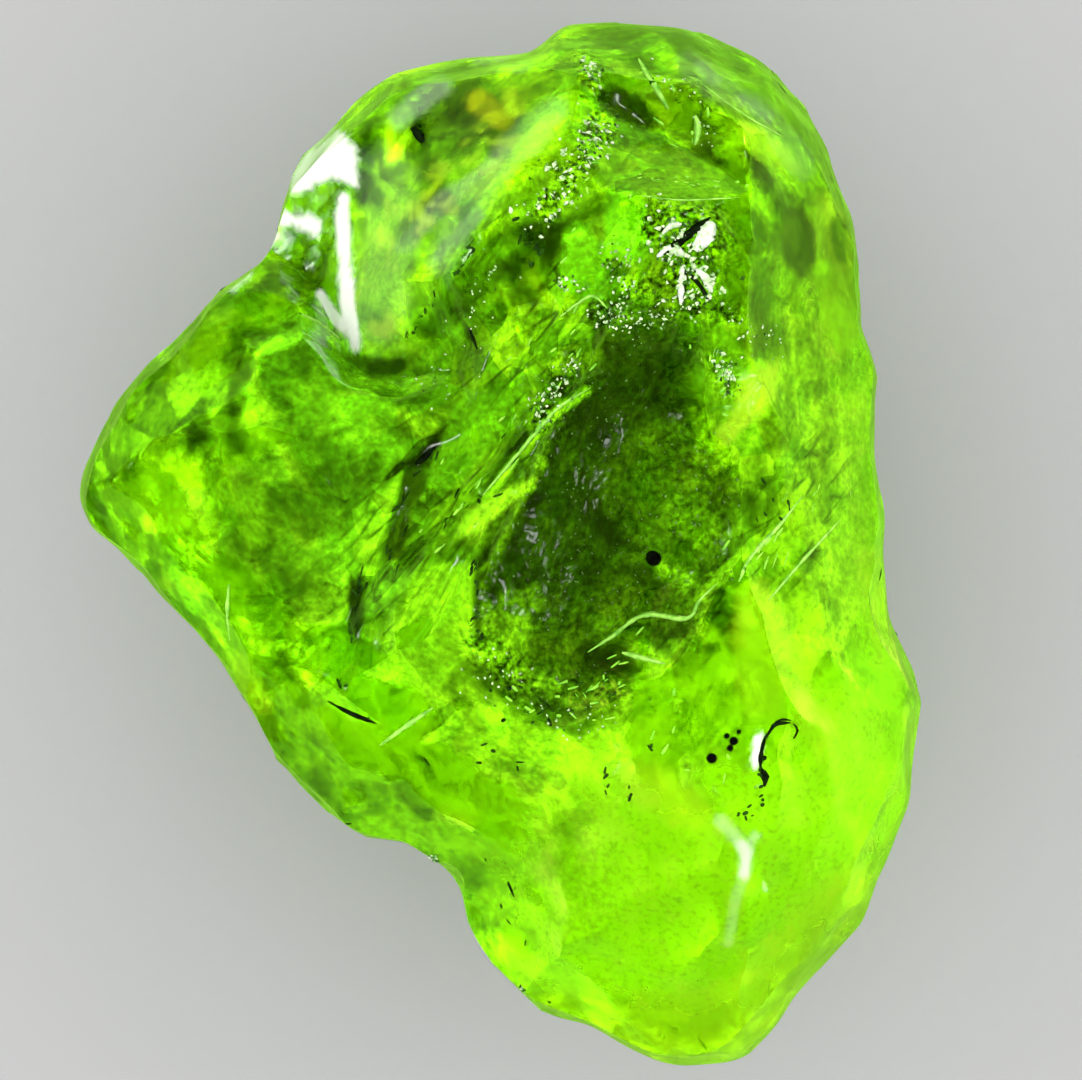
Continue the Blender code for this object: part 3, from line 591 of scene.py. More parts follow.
# %% Where the breaks are tiled or streaky, and the clean facets
MOSAIC_STROKES = (
    (600, 80, 640, 170, 600, 260, 520, 330, 95, 1.0), (480, 340, 400, 470, 360, 640, 75, 1.0),
    (230, 420, 330, 520, 330, 640, 70, 0.6), (700, 110, 800, 180, 800, 270, 60, 0.6),
    (330, 730, 460, 780, 560, 770, 55, 0.8), (740, 380, 790, 470, 740, 600, 55, 0.8),
    (620, 690, 760, 620, 760, 740, 50, 0.7),
)
STREAKY_STROKES = (
    (580, 300, 480, 430, 380, 580, 85, 1.0), (500, 240, 420, 340, 45, 0.6), (820, 480, 740, 600, 60, 1.0),
    (660, 640, 740, 640, 700, 720, 45, 0.6), (330, 560, 300, 680, 430, 720, 50, 0.6),
)
FACET_EDGE, FACET_RAGGEDNESS = 7.0, 4.0
FACETS = (  # outline, light, paleness, greenness
    (((465, 393), (517, 393), (483, 458), (450, 488), (430, 486), (440, 452)), 0.44, 0.0, 0.4),
    # the pale facet on the right: painted light, where it mirrors a softbox
    (((776, 364), (770, 400), (752, 420), (722, 448), (712, 452), (716, 430), (738, 405), (742, 378)),
     0.50, 0.6, 0.0),
    (((604, 262), (602, 225), (622, 197), (640, 205), (647, 240), (632, 262)), 0.76, 0.0, 1.0),
    (((560, 262), (575, 238), (596, 244), (609, 275), (600, 304), (575, 300), (558, 285)), 0.57, 0.0, 1.0),
    (((736, 130), (760, 134), (785, 152), (802, 178), (780, 176), (755, 162), (740, 148)), 0.92, 0.55, 0.0),
    (((405, 467), (399, 500), (386, 530), (381, 520), (388, 490)), 0.78, 0.0, 0.2),
    (((407, 466), (424, 470), (424, 490), (413, 512), (411, 532), (400, 557), (388, 562), (390, 535),
      (398, 505)), 0.08, 0.0, -0.3),
    (((352, 575), (366, 590), (368, 620), (360, 640), (350, 625), (346, 600)), 0.04, 0.0, 0.0),
    (((597, 95), (620, 93), (645, 108), (648, 124), (630, 130), (608, 118)), 0.05, 0.0, -0.3),
    (((476, 562), (474, 600), (475, 642), (440, 690), (396, 650), (410, 592), (440, 564)), 0.70, 0.0, 0.2),
    (((752, 604), (783, 618), (787, 660), (776, 716), (748, 714), (737, 660)), 1.0, 0.45, 0.0),
    (((780, 215), (800, 212), (815, 235), (812, 262), (800, 282), (786, 270), (778, 240)), 0.10, 0.0, -1.0),
    (((828, 212), (848, 225), (848, 262), (832, 268), (824, 240)), 0.18, 0.0, -0.8),
    (((535, 480), (522, 492), (499, 512), (472, 533), (461, 531), (466, 518), (490, 501), (514, 487)),
     0.88, 0.15, 0.1),
    (((306, 265), (327, 270), (322, 292), (306, 288)), 0.10, 0.0, -0.3),
    (((236, 300), (168, 372), (102, 450), (90, 480), (132, 466), (186, 418), (230, 350)), 0.38, 0.0, -0.1),
)
print(len(FACETS), "facets")

# %% The masks
# The window's olive hue goes with its painted shade.
WINDOW_CRUSHED, WINDOW_STREAKY, WINDOW_OLIVE = 0.30, 0.25, 0.15
MIST_LAYERS = ((1.6, 0.30, 8), (0.9, 0.12, 9))
PALENESS, PALE_LEAST, PALE_MIST, SOFT_PALENESS = 0.6, 0.75, 0.5, 0.25
YELLOWER_SHARE = 0.5
FACET_GRAIN = 0.5 * GRAIN
MOSAIC_LEAST, FACET_CALM = 0.4, 0.7
RIPPLE_SPACING, RIPPLE_SEED = 0.14, 13
mist = smooth(layered(MIST_LAYERS))
pale = PALENESS * strokes(PALE_STROKES, True) * (PALE_LEAST + PALE_MIST * mist)
pale += SOFT_PALENESS * soft * mist
green = strokes(GREEN_STROKES) - YELLOWER_SHARE * strokes(YELLOWER_STROKES) - WINDOW_OLIVE * window
plain = np.zeros(len(corners))
for outline, brightness, paleness, greenness in FACETS:
    here = place(outline, FACET_EDGE, FACET_RAGGEDNESS)
    light += (brightness * (1.0 + FACET_GRAIN * grain) - light) * here
    pale += (paleness - pale) * here
    green += (greenness - green) * here
    plain = np.maximum(plain, here)
masks = {
    "light": light,
    "crushed": np.maximum(strokes(CRUSHED_STROKES), WINDOW_CRUSHED * window),
    "painted_sheen": strokes(PAINTED_SHEEN_STROKES),
    # painted highlights, and the white crack in the toe
    "white": np.maximum(place(PAINTED_HIGHLIGHT_PATCH, FACET_EDGE, FACET_RAGGEDNESS), strokes(HIGHLIGHT_AND_CRACK_STROKES)),
    "pale": pale,
    "green": green,
    "rusty": strokes(RUSTY_STROKES),
    "mosaic": np.maximum(strokes(MOSAIC_STROKES), MOSAIC_LEAST) * (1 - np.maximum(soft, FACET_CALM * plain)),
    "streaky": np.maximum(strokes(STREAKY_STROKES), WINDOW_STREAKY * window) * (1 - FACET_CALM * plain),
    "soft": soft,
    "ripple": wandering(corners, RIPPLE_SPACING, RIPPLE_SEED),
}
for name, values in masks.items():
    print(f"{name:8s} mean {values.mean():.3f}  highest {values.max():.2f}")

# %% [markdown]
# ## Fine relief
#
# Under a lens the smooth breaks of a crystal still have a slow swell, and its ridges are finely
# crushed. Both are true shape, so the corners are moved along their normals by noise: a little on the
# faces, and more, with finer bumps, where a ridge was crushed. The face that it rests on stays flat.

# %% Move the corners: a slow swell, and fine bumps where the stone is crushed
SWELL, SWELL_SPACING, SWELL_SEED = 0.012, 0.55, 6
CRUSH, CRUSH_SPACING, CRUSH_SEED = 0.045, 0.17, 7
STAYS_FLAT_BELOW = 0.25
depth = SWELL * wandering(corners, SWELL_SPACING, SWELL_SEED)
depth += CRUSH * masks["crushed"] * wandering(corners, CRUSH_SPACING, CRUSH_SEED)
depth *= smooth(corners[:, 2] / STAYS_FLAT_BELOW)
corners = np.clip(corners + normals * depth[:, None], low, high)
print("relief up to", round(float(np.abs(depth).max()), 3), "mm")

# %% Keep the masks on the mesh
def in_scene(name, data):
    """A new object in the scene."""
    made = bpy.data.objects.new(name, data)
    bpy.context.scene.collection.objects.link(made)
    return made


def stone_mesh(points, faces, masks):
    """A mesh in metres, shaded smooth but for its ridges, that carries the masks."""
    mesh = bpy.data.meshes.new("peridot")
    mesh.from_pydata((points * MM).tolist(), [], faces.tolist())
    for name, values in masks.items():
        attribute = mesh.attributes.new(name, "FLOAT", "POINT")
        attribute.data.foreach_set("value", values.astype(np.float32))
    mesh.shade_smooth()
    mesh.set_sharp_from_angle(angle=math.radians(SHARP_OVER))
    return mesh


stone = in_scene("peridot_body", stone_mesh(corners, triangles, masks))
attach(stone, "root")
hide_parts(STONE)
print("the fine stone has", len(stone.data.polygons), "triangles")

# %% [markdown]
# ## Shader maths as Python
#
# A material is a net of nodes. Written link by link it is unreadable, so one small class wraps a
# number that varies over the surface and lets Python's own signs stand for Math nodes.

# %% A class for shader maths
def socket_named(sockets, key):
    """A socket by its number, its identifier or its name."""
    if isinstance(key, int):
        return sockets[key]
    for socket in sockets:
        if socket.identifier == key:
            return socket
    return sockets[key]


class Varying:
    """A number that varies over a surface. Python's operators add Math nodes to its tree."""

    def __init__(self, socket):
        self.socket = socket
        self.tree = socket.id_data

    def maths(self, operation, *values, clamp=False):
        """What a Math node makes of the values."""
        settings = {"operation": operation, "use_clamp": clamp}
        return Varying(add_node(self.tree, "ShaderNodeMath", settings, dict(enumerate(values))).outputs[0])

    def __add__(self, other):
        return self.maths("ADD", self, other)

    def __radd__(self, other):
        return self.maths("ADD", other, self)

    def __sub__(self, other):
        return self.maths("SUBTRACT", self, other)

    def __rsub__(self, other):
        return self.maths("SUBTRACT", other, self)

    def __mul__(self, other):
        return self.maths("MULTIPLY", self, other)

    def __rmul__(self, other):
        return self.maths("MULTIPLY", other, self)

    def clamped(self):
        """The number, kept between 0 and 1."""
        return self.maths("ADD", self, 0.0, clamp=True)


def add_node(tree, kind, settings=None, values=None):
    """A node of that kind, with its settings made first and then its sockets' values or links."""
    node = tree.nodes.new(kind)
    for name, setting in (settings or {}).items():
        setattr(node, name, setting)
    for key, value in (values or {}).items():
        socket = socket_named(node.inputs, key)
        if isinstance(value, Varying):
            tree.links.new(value.socket, socket)
        elif isinstance(value, bpy.types.NodeSocket):
            tree.links.new(value, socket)
        else:
            socket.default_value = value
    return node


def mixed(tree, factor, first, second):
    """A colour that goes from the first to the second as the factor goes from 0 to 1."""
    values = {"Factor_Float": factor, "A_Color": first, "B_Color": second}
    mix = add_node(tree, "ShaderNodeMix", {"data_type": "RGBA"}, values)
    return socket_named(mix.outputs, "Result_Color")


def mask(tree, name):
    """A mask that the mesh carries."""
    return Varying(add_node(tree, "ShaderNodeAttribute", {"attribute_name": name}).outputs["Fac"])


def fresh_material(name):
    """A material with an empty tree, and that tree."""
    material = bpy.data.materials.new(name)
    material.use_nodes = True
    material.node_tree.nodes.clear()
    return material, material.node_tree


def shows(tree, surface, **others):
    """Ends a tree with a node whose light leaves the surface, or also the volume."""
    add_node(tree, "ShaderNodeOutputMaterial", None, {"Surface": surface.outputs[0], **others})


print("shader helpers ready")

# %% [markdown]
# ## The body of the stone
#
# Peridot is clear, with a refractive index of about 1.67, and iron colours it green all through. So
# the colour belongs in the volume, as plain absorption: thick places come out deeper than thin ones
# by themselves. Base Color tints what passes the surface, and carries the painted light and shade
# and the finer differences: tiles and splinters of the fine breaks, which are crisp cells of a
# Voronoi texture, painted shade in the crevices between splinters, and the masks. The few places that
# look white are mixed with a second, white surface, which paints highlights and sheen, and a white
# crack in the toe.

# %% Peridot
IOR = 1.67
ABSORBED = (22.0, 8.0, 150.0)  # of red, green and blue, for each metre of the way
DENSITY = 150.0
LIME = (0.45, 1.0, 0.02, 1.0)
DEEP_LIME = (0.20, 1.0, 0.014, 1.0)
BLACK_GREEN = (0.0003, 0.0007, 0.0001, 1.0)
PALE_YELLOW = (0.92, 1.0, 0.19, 1.0)
RUST = (0.42, 0.22, 0.008, 1.0)
SOFTNESS, SOFTER = 0.14, 0.36
# the white of painted highlights and sheen, and of the white crack in the toe
GLARE_AND_CRACK_WHITE = (0.42, 0.45, 0.38, 1.0)
STREAK_BEARING = 46.0  # degrees from +X, the way the fine steps run
STREAK_STRETCH = 5.0
TILE, SPLINTER, SPECK, BEND = 0.42, 0.2, 0.08, 0.5  # millimetres
# how strongly tiles, splinters and specks vary the painted light, and how dark the painted crevice shade is
TILE_DEPTH, SPLINTER_DEPTH, CREVICE_SHADE_DEPTH, CRUSHED_GLITTER_DEPTH = 0.75, 0.8, 0.8, 4.0
TILE_HUE, LEAST_HUE = 0.6, 0.2
CREVICE = 0.13  # half the width of a crevice, as a share of the cells' spacing
GAP, GAP_OVER, GAP_GAIN = 0.35, 0.47, 6.0  # where crevices break off
PALE_SHARE, PAINTED_SHEEN_SHARE = 0.8, 0.06
RIPPLE_DEPTH, RIPPLE_LEAST = 0.00003, 0.15  # metres, and the strength where nothing is crushed


def texture(tree, kind, where, spacing, settings=None, **values):
    """The outputs of a texture node whose bumps or cells are that far apart in millimetres."""
    values.update({"Vector": where, "Scale": 1.0 / (spacing * MM)})
    return add_node(tree, f"ShaderNodeTex{kind}", settings, values).outputs


def noise_value(tree, where, spacing, detail=2.0):
    """Noise from 0 to 1."""
    return Varying(texture(tree, "Noise", where, spacing, Detail=detail)["Fac"])


def cells_over(tree, where, spacing):
    """Crisp cells, with two random numbers from -0.5 to 0.5 for each."""
    cells = texture(tree, "Voronoi", where, spacing, {"feature": "F1"})
    parts = add_node(tree, "ShaderNodeSeparateColor", None, {"Color": cells["Color"]})
    return Varying(parts.outputs[0]) - 0.5, Varying(parts.outputs[1]) - 0.5


def seams_over(tree, where, spacing):
    """How near a place is to the border of its cell, from 0 to 1."""
    borders = texture(tree, "Voronoi", where, spacing, {"feature": "DISTANCE_TO_EDGE"})
    return (1.0 - Varying(borders["Distance"]) * (1.0 / CREVICE)).clamped()


def bent(tree, where, spacing, amount):
    """A place that noise bends by up to that many millimetres."""
    wander = texture(tree, "Noise", where, spacing, Detail=0.0)["Color"]
    sum_of = {0: wander, 1: (amount * MM,) * 3, 2: where}
    return add_node(tree, "ShaderNodeVectorMath", {"operation": "MULTIPLY_ADD"}, sum_of).outputs[0]


def peridot():
    """The clear stone, with what the masks and the fine breaks do to its surface."""
    material, tree = fresh_material("peridot")
    where = add_node(tree, "ShaderNodeTexCoord").outputs["Object"]
    stretched = add_node(tree, "ShaderNodeMapping", {"vector_type": "TEXTURE"}, {
        "Vector": where,
        "Rotation": (0.0, 0.0, math.radians(STREAK_BEARING)),
        "Scale": (STREAK_STRETCH, 1.0, STREAK_STRETCH),
    }).outputs[0]
    crushed_here = mask(tree, "crushed")
    mosaic, streaky = mask(tree, "mosaic"), mask(tree, "streaky")
    tiles, hues = cells_over(tree, bent(tree, where, BEND, BEND), TILE)
    splinters, _ = cells_over(tree, stretched, SPLINTER)
    specks = noise_value(tree, where, SPECK, 1.0) - 0.5
    gaps = ((noise_value(tree, where, GAP, 0.0) - GAP_OVER) * GAP_GAIN).clamped()
    # Painted shade along the crevices between splinters.
    crevice_shade = seams_over(tree, stretched, SPLINTER) * streaky * CREVICE_SHADE_DEPTH * gaps
    # Painted light and shade: tiles, splinters and specks raise or lower the light mask; specks glitter most
    # where a ridge is crushed.
    change = tiles * mosaic * TILE_DEPTH + splinters * streaky * SPLINTER_DEPTH
    change = change + specks * (crushed_here * CRUSHED_GLITTER_DEPTH + 1.0)
    lit = (mask(tree, "light") * (change + 1.0) * (1.0 - crevice_shade)).clamped()
    yellow = lit + hues * (mosaic * TILE_HUE + LEAST_HUE) - mask(tree, "green")
    lime = mixed(tree, yellow.clamped(), DEEP_LIME, LIME)
    colour = mixed(tree, lit * lit, BLACK_GREEN, lime)
    colour = mixed(tree, (mask(tree, "pale") * PALE_SHARE).clamped(), colour, PALE_YELLOW)
    colour = mixed(tree, mask(tree, "rusty"), colour, RUST)
    bump = add_node(tree, "ShaderNodeBump", None, {
        "Height": mask(tree, "ripple"),
        "Distance": RIPPLE_DEPTH,
        "Strength": crushed_here + RIPPLE_LEAST,
    })
    glass = add_node(tree, "ShaderNodeBsdfPrincipled", None, {
        "Base Color": colour,
        "Roughness": mask(tree, "soft") * (SOFTER - SOFTNESS) + SOFTNESS,
        "IOR": IOR,
        "Transmission Weight": 1.0,
        "Coat Weight": 0.6,
        "Coat Roughness": 0.04,
        "Normal": bump.outputs[0],
    })
    # A white surface that paints highlights and sheen, and the white crack in the toe.
    glare_and_crack_surface = add_node(tree, "ShaderNodeBsdfPrincipled", None, {
        "Base Color": GLARE_AND_CRACK_WHITE,
        "Roughness": 0.35,
        "Normal": bump.outputs[0],
    })
    # How much of the painted sheen, painted highlights and white crack shows.
    glare_and_crack_share = (mask(tree, "painted_sheen") * PAINTED_SHEEN_SHARE + mask(tree, "white")).clamped()
    both = {0: glare_and_crack_share, 1: glass.outputs[0], 2: glare_and_crack_surface.outputs[0]}
    kept = [1.0 - share / DENSITY for share in ABSORBED]
    green_glass = {"Color": (*kept, 1.0), "Density": DENSITY}
    volume = add_node(tree, "ShaderNodeVolumeAbsorption", None, green_glass)
    shows(tree, add_node(tree, "ShaderNodeMixShader", None, both), Volume=volume.outputs[0])
    return material


stone.data.materials.append(peridot())
print("peridot keeps", [round(math.exp(-share * 0.01), 2) for share in ABSORBED], "of the light over 10 mm")

# %% [markdown]
# ## Small pieces on the surface
#
# The crispest things on the stone are too small for masks: pale threads where a crack has healed, black
# gashes where one still gapes, grains of another mineral, and the crumbs that a crushed ridge is made
# of. Each is made as a small closed body, half sunk in the surface, so that light and shade are real
# and nothing is lost when the stone is seen from the side. To find the surface under a pixel, a ray is
# dropped on it from above.

# %% Drop a point on the front
ABOVE = 20.0
surface = BVHTree.FromPolygons(corners.tolist(), triangles.tolist())


def on_front(right, down):
    """The place and the normal of the front under a pixel of the picture, or None beside the stone."""
    x = (right - STONE_MIDDLE[0]) / PIXELS_PER_MM
    y = (STONE_MIDDLE[1] - down) / PIXELS_PER_MM
    hit, normal, _, _ = surface.ray_cast(Vector((x, y, ABOVE)), Vector((0.0, 0.0, -1.0)))
    return None if hit is None else (hit, normal)


print("the front's height at the middle is", round(on_front(*STONE_MIDDLE)[0].z, 2), "mm")

# %% Ribbons: closed strips that lie on the surface and taper to both ends
STEP = 4.0  # pixels from one section of a ribbon to the next
WOBBLE, WOBBLES_PER_MM = 0.5, 10.0
THICKNESS, TAPER = 0.3, 0.6


def curve_through(line):
    """Points a step apart on a smooth curve through the points of a line."""
    line = [Vector(point) for point in line]
    line = [line[0] * 2 - line[1], *line, line[-1] * 2 - line[-2]]
    points = []
    for before, start, end, after in zip(line, line[1:], line[2:], line[3:]):
        count = max(2, round((end - start).length / STEP))
        for index in range(count):
            t = index / count
            bend = (end - before) * t + (before * 2 - start * 5 + end * 4 - after) * t**2
            points.append(start + (bend + (start * 3 - before - end * 3 + after) * t**3) / 2)
    return [*points, line[-2]]


def ribbon(places, width):
    """The points and faces of a ribbon through places on the surface, with its width in pixels."""
    points, faces = [], []
    for index, (hit, normal) in enumerate(places):
        ahead = places[min(index + 1, len(places) - 1)][0] - places[max(index - 1, 0)][0]
        side = ahead.cross(normal).normalized()
        share = (index + 0.5) / len(places)
        half = width / PIXELS_PER_MM / 2 * math.sin(math.pi * share) ** TAPER
        half *= 1.0 + WOBBLE * noise.noise(hit * WOBBLES_PER_MM)
        rise = normal * half * THICKNESS
        points += [hit - side * half, hit + rise, hit + side * half, hit - rise]
    for index in range(len(places) - 1):
        for corner in range(4):
            near, far = index * 4 + corner, index * 4 + (corner + 1) % 4
            faces.append((near, near + 4, far + 4, far))
    faces.append((0, 1, 2, 3))
    faces.append(tuple(len(points) - 1 - corner for corner in range(4)))
    return points, faces


def drawn(line, width):
    """A ribbon under a line of pixels."""
    places = [on_front(*pixel) for pixel in curve_through(line)]
    return ribbon([found for found in places if found is not None], width)


print("ribbons take a section every", STEP, "pixels")

# %% Small pieces as objects
CONTRAST = 2.5  # how far noise pulls a finish to its dark or its bright colour


def joined(name, parts, material, smooth_shaded=False):
    """One object of many small closed bodies, that rides on the stone."""
    points, faces = [], []
    for part_points, part_faces in parts:
        faces += [[corner + len(points) for corner in face] for face in part_faces]
        points += [point * MM for point in part_points]
    mesh = bpy.data.meshes.new(name)
    mesh.from_pydata(points, [], faces)
    mesh.materials.append(material)
    if smooth_shaded:
        mesh.shade_smooth()
    piece = in_scene(name, mesh)
    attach(piece, "root")
    print(name, "has", len(parts), "bodies and", len(faces), "faces")


def small_finish(name, dark, bright, spacing, roughness, gloss=0.2):
    """A material that noise varies from a dark to a bright colour."""
    material, tree = fresh_material(name)
    where = add_node(tree, "ShaderNodeTexCoord").outputs["Object"]
    share = ((noise_value(tree, where, spacing) - 0.5) * CONTRAST + 0.5).clamped()
    shader = add_node(tree, "ShaderNodeBsdfPrincipled", None, {
        "Base Color": mixed(tree, share, (*dark, 1.0), (*bright, 1.0)),
        "Roughness": roughness,
        "Specular IOR Level": gloss,
    })
    shows(tree, shader)
    return material


print("small pieces can be made")

# %% Healed cracks
HEALED = (
    (((590, 390), (556, 412), (517, 457), (481, 499)), 5),
    (((587, 651), (613, 634), (643, 614), (685, 617), (697, 600), (714, 583)), 6),
    (((736, 581), (747, 558), (775, 527), (800, 496)), 5), (((838, 520), (800, 560), (765, 600)), 4),
    (((621, 651), (640, 656), (663, 662)), 6), (((381, 744), (408, 724), (434, 706)), 5),
    (((231, 584), (229, 612), (231, 640)), 4), (((640, 202), (680, 206), (736, 203)), 2.5),
    (((638, 62), (650, 85), (667, 114)), 6), (((694, 120), (696, 136), (693, 150)), 6),
    (((300, 314), (322, 325), (343, 342)), 5), (((560, 320), (590, 300), (606, 312)), 4),
    (((700, 88), (740, 118), (780, 140)), 4),
)
healed_finish = small_finish("healed_crack", (0.07, 0.24, 0.01), (0.24, 0.48, 0.06), 0.12, 0.5)
joined("healed_cracks", [drawn(*row) for row in HEALED], healed_finish, True)

# %% White slivers: painted glints
PAINTED_GLINT_SLIVERS = (
    (((692, 256), (701, 244), (710, 228)), 18), (((692, 274), (702, 283), (709, 297)), 9),
    (((680, 270), (679, 290), (678, 308)), 9), (((655, 262), (668, 254), (684, 262)), 8),
    (((660, 240), (668, 232), (680, 230)), 7),
)
# A painted glint: white colour where a splinter would mirror a lamp.
painted_glint_finish = small_finish("painted_glint", (0.24, 0.34, 0.16), (0.42, 0.44, 0.40), 0.10, 0.2)
joined("painted_glint_slivers", [drawn(*row) for row in PAINTED_GLINT_SLIVERS], painted_glint_finish, True)

# %% Open gashes
GASHES = (
    (((661, 260), (686, 240), (707, 223)), 9), (((684, 276), (698, 292), (706, 306)), 5),
    (((436, 448), (426, 458), (416, 465)), 7), (((329, 700), (352, 712), (378, 722)), 6),
    (((787, 720), (772, 722), (763, 734)), 4), (((762, 733), (758, 750), (757, 768)), 4.5),
    (((757, 764), (762, 774), (761, 783)), 7), (((768, 723), (778, 717), (788, 718)), 2.5),
    (((790, 721), (794, 728), (790, 736)), 3), (((508, 880), (514, 895)), 4),
    (((470, 330), (474, 341), (478, 352)), 5), (((413, 130), (419, 137), (424, 145)), 9),
)
gash_finish = small_finish("open_gash", (0.0006, 0.0016, 0.0003), (0.004, 0.012, 0.001), 0.08, 0.6, 0.03)
joined("open_gashes", [drawn(*row) for row in GASHES], gash_finish, True)

# %% [markdown]
# ## Flecks
#
# The stone is full of short steps and slivers, bright where they send light to the eye and dark where
# they send it away, and their finishes paint that light and shade as colour. They lie about one
# direction in each part of the stone, because the crystal breaks most easily along it. Each is a short
# ribbon; the front's are strewn along lines of pixels, and those of the sides and the back anywhere.
# The seed makes chance fall the same way every time.

# %% Flecks
SEED = 7
dice = random.Random(SEED)
SIDES_FROM, SIDES_TO = 0.5, 4.4  # the heights between which the sides get flecks and crumbs
STEEPEST = 0.8  # of the flecks there
FEWEST_SECTIONS = 4
DARK_FLECKS = (  # line, spread, count, lengths, widths, bearing, fan
    (((478, 246), (440, 296), (405, 342)), 3, 20, (5, 13), (1.5, 4), 52, 25),
    (((436, 448), (405, 510), (390, 560)), 6, 12, (8, 20), (1.5, 4), 58, 20),
    (((362, 578), (354, 638)), 5, 9, (8, 18), (1.5, 4), 75, 20),
    (((476, 556), (480, 640)), 3, 18, (5, 12), (1.5, 4), 80, 30),
    (((604, 768), (606, 788)), 1.5, 4, (6, 12), (2, 4), 75, 15),
    (((629, 784), (629, 802)), 1.5, 3, (5, 10), (2, 4), 75, 20),
    (((641, 727), (649, 745)), 2, 3, (5, 10), (2, 3.5), -60, 20),
    (((732, 812), (763, 793)), 4, 9, (4, 9), (2, 4), 30, 60),
    (((763, 730), (758, 782)), 1.5, 9, (4, 9), (2, 5), 85, 40),
    (((545, 410), (440, 520)), 14, 10, (6, 18), (1.5, 4), 48, 14),
    (((330, 690), (470, 760), (560, 770)), 16, 9, (6, 16), (2, 5), -25, 50),
    (((745, 470), (790, 540)), 16, 8, (6, 18), (1.5, 3.5), -50, 20),
    (((500, 850), (515, 940)), 8, 4, (6, 12), (2, 4), 80, 30),
    (((470, 650), (520, 700), (610, 690)), 12, 14, (5, 14), (2, 5), -10, 50),
    (((520, 230), (545, 270)), 12, 7, (5, 14), (2, 6), 50, 50),
)
DARK_AT_SIDES = (40, (6, 24), (2, 5))  # count, lengths, widths
BRIGHT_FLECKS = (
    (((600, 330), (500, 430), (420, 560)), 20, 22, (6, 20), (1.5, 4), 47, 14),
    (((820, 470), (750, 590)), 16, 14, (8, 26), (1.5, 3.5), 50, 12),
    (((600, 150), (560, 260)), 16, 10, (6, 16), (1.5, 4), 60, 35),
    (((650, 60), (700, 150)), 14, 10, (6, 20), (1.5, 4), -55, 25),
    (((640, 690), (700, 750)), 20, 8, (6, 18), (1.5, 4), 60, 30),
    (((500, 690), (600, 700)), 12, 14, (5, 16), (1.5, 4), -10, 35),
    (((700, 330), (730, 420)), 10, 10, (5, 14), (1.5, 4), 70, 35),
    (((620, 181), (680, 188), (745, 190)), 3, 18, (4, 10), (1.5, 3.5), 5, 35),
    (((640, 640), (600, 690), (560, 700)), 16, 14, (5, 16), (1.5, 3.5), 30, 30),
)
BRIGHT_AT_SIDES = (50, (8, 30), (1.5, 4))


def fleck(hit, bearing, length, width):
    """A short ribbon over a place, along a direction that the surface bends."""
    count = max(FEWEST_SECTIONS, round(length / STEP))
    places = []
    for index in range(count):
        way = bearing * ((index + 0.5) / count - 0.5) * length / PIXELS_PER_MM
        near, normal, _, _ = surface.find_nearest(hit + way)
        places.append((near, normal))
    return ribbon(places, width)


def scattered(line, spread, count):
    """Places on the front by chance about a line of pixels, with None for one beside the stone."""
    curve = curve_through(line)
    for _ in range(count):
        at = dice.choice(curve)
        yield on_front(at.x + dice.gauss(0, spread), at.y + dice.gauss(0, spread))


def strewn_flecks(line, spread, count, lengths, widths, bearing, fan):
    """Flecks scattered along a line of pixels, lying about one bearing in degrees."""
    flecks = []
    for found in scattered(line, spread, count):
        turn = math.radians(dice.gauss(bearing, fan))
        length, width = dice.uniform(*lengths), dice.uniform(*widths)
        if found is not None:
            flecks.append(fleck(found[0], Vector((math.cos(turn), math.sin(turn), 0.0)), length, width))
    return flecks


def side_flecks(count, lengths, widths):
    """Flecks scattered over the sides and the back."""
    flecks = []
    while len(flecks) < count:
        at = Vector(corners[dice.randrange(len(corners))])
        turn, rise = dice.uniform(0, math.pi), dice.uniform(-STEEPEST, STEEPEST)
        length, width = dice.uniform(*lengths), dice.uniform(*widths)
        if SIDES_FROM < at.z < SIDES_TO:
            flecks.append(fleck(at, Vector((math.cos(turn), math.sin(turn), rise)), length, width))
    return flecks


def from_rows(maker, rows):
    """All the pieces that a maker makes from several rows."""
    return [one for row in rows for one in maker(*row)]


dark_flecks = from_rows(strewn_flecks, DARK_FLECKS) + side_flecks(*DARK_AT_SIDES)
bright_flecks = from_rows(strewn_flecks, BRIGHT_FLECKS) + side_flecks(*BRIGHT_AT_SIDES)
# Bright flecks are painted light, dark ones painted shade.
fleck_finish = small_finish("bright_fleck", (0.06, 0.26, 0.004), (0.22, 0.50, 0.03), 0.12, 0.5)
shade_finish = small_finish("dark_fleck", (0.0012, 0.0045, 0.0003), (0.014, 0.055, 0.002), 0.10, 0.6, 0.03)
joined("dark_flecks", dark_flecks, shade_finish, True)
joined("bright_flecks", bright_flecks, fleck_finish, True)

# %% [markdown]
# ## Crumbs
#
# Where a ridge was crushed it is a heap of splinters, and each shows the camera one small face. Some
# faces mirror a lamp and some the dark, so a crushed ridge glitters white on black. Each crumb is an
# octahedron pulled out of shape. They are strewn along the crushed ridges in a bright and a dark
# finish, which paint that glitter as a painted glint and a painted shade, and noise sets how bright
# each one is. The dark window has finer ones, as specks of dimmer painted glint and shade.

# %% A crumb
CRUMB_LENGTHS, CRUMB_HEIGHT, CRUMB_JITTER = (0.75, 1.35), 0.7, 0.3
OCTAHEDRON = ((1, 0, 0), (0, 1, 0), (-1, 0, 0), (0, -1, 0), (0, 0, 1), (0, 0, -1))
EIGHT_FACES = ((0, 1, 4), (1, 2, 4), (2, 3, 4), (3, 0, 4), (1, 0, 5), (2, 1, 5), (3, 2, 5), (0, 3, 5))


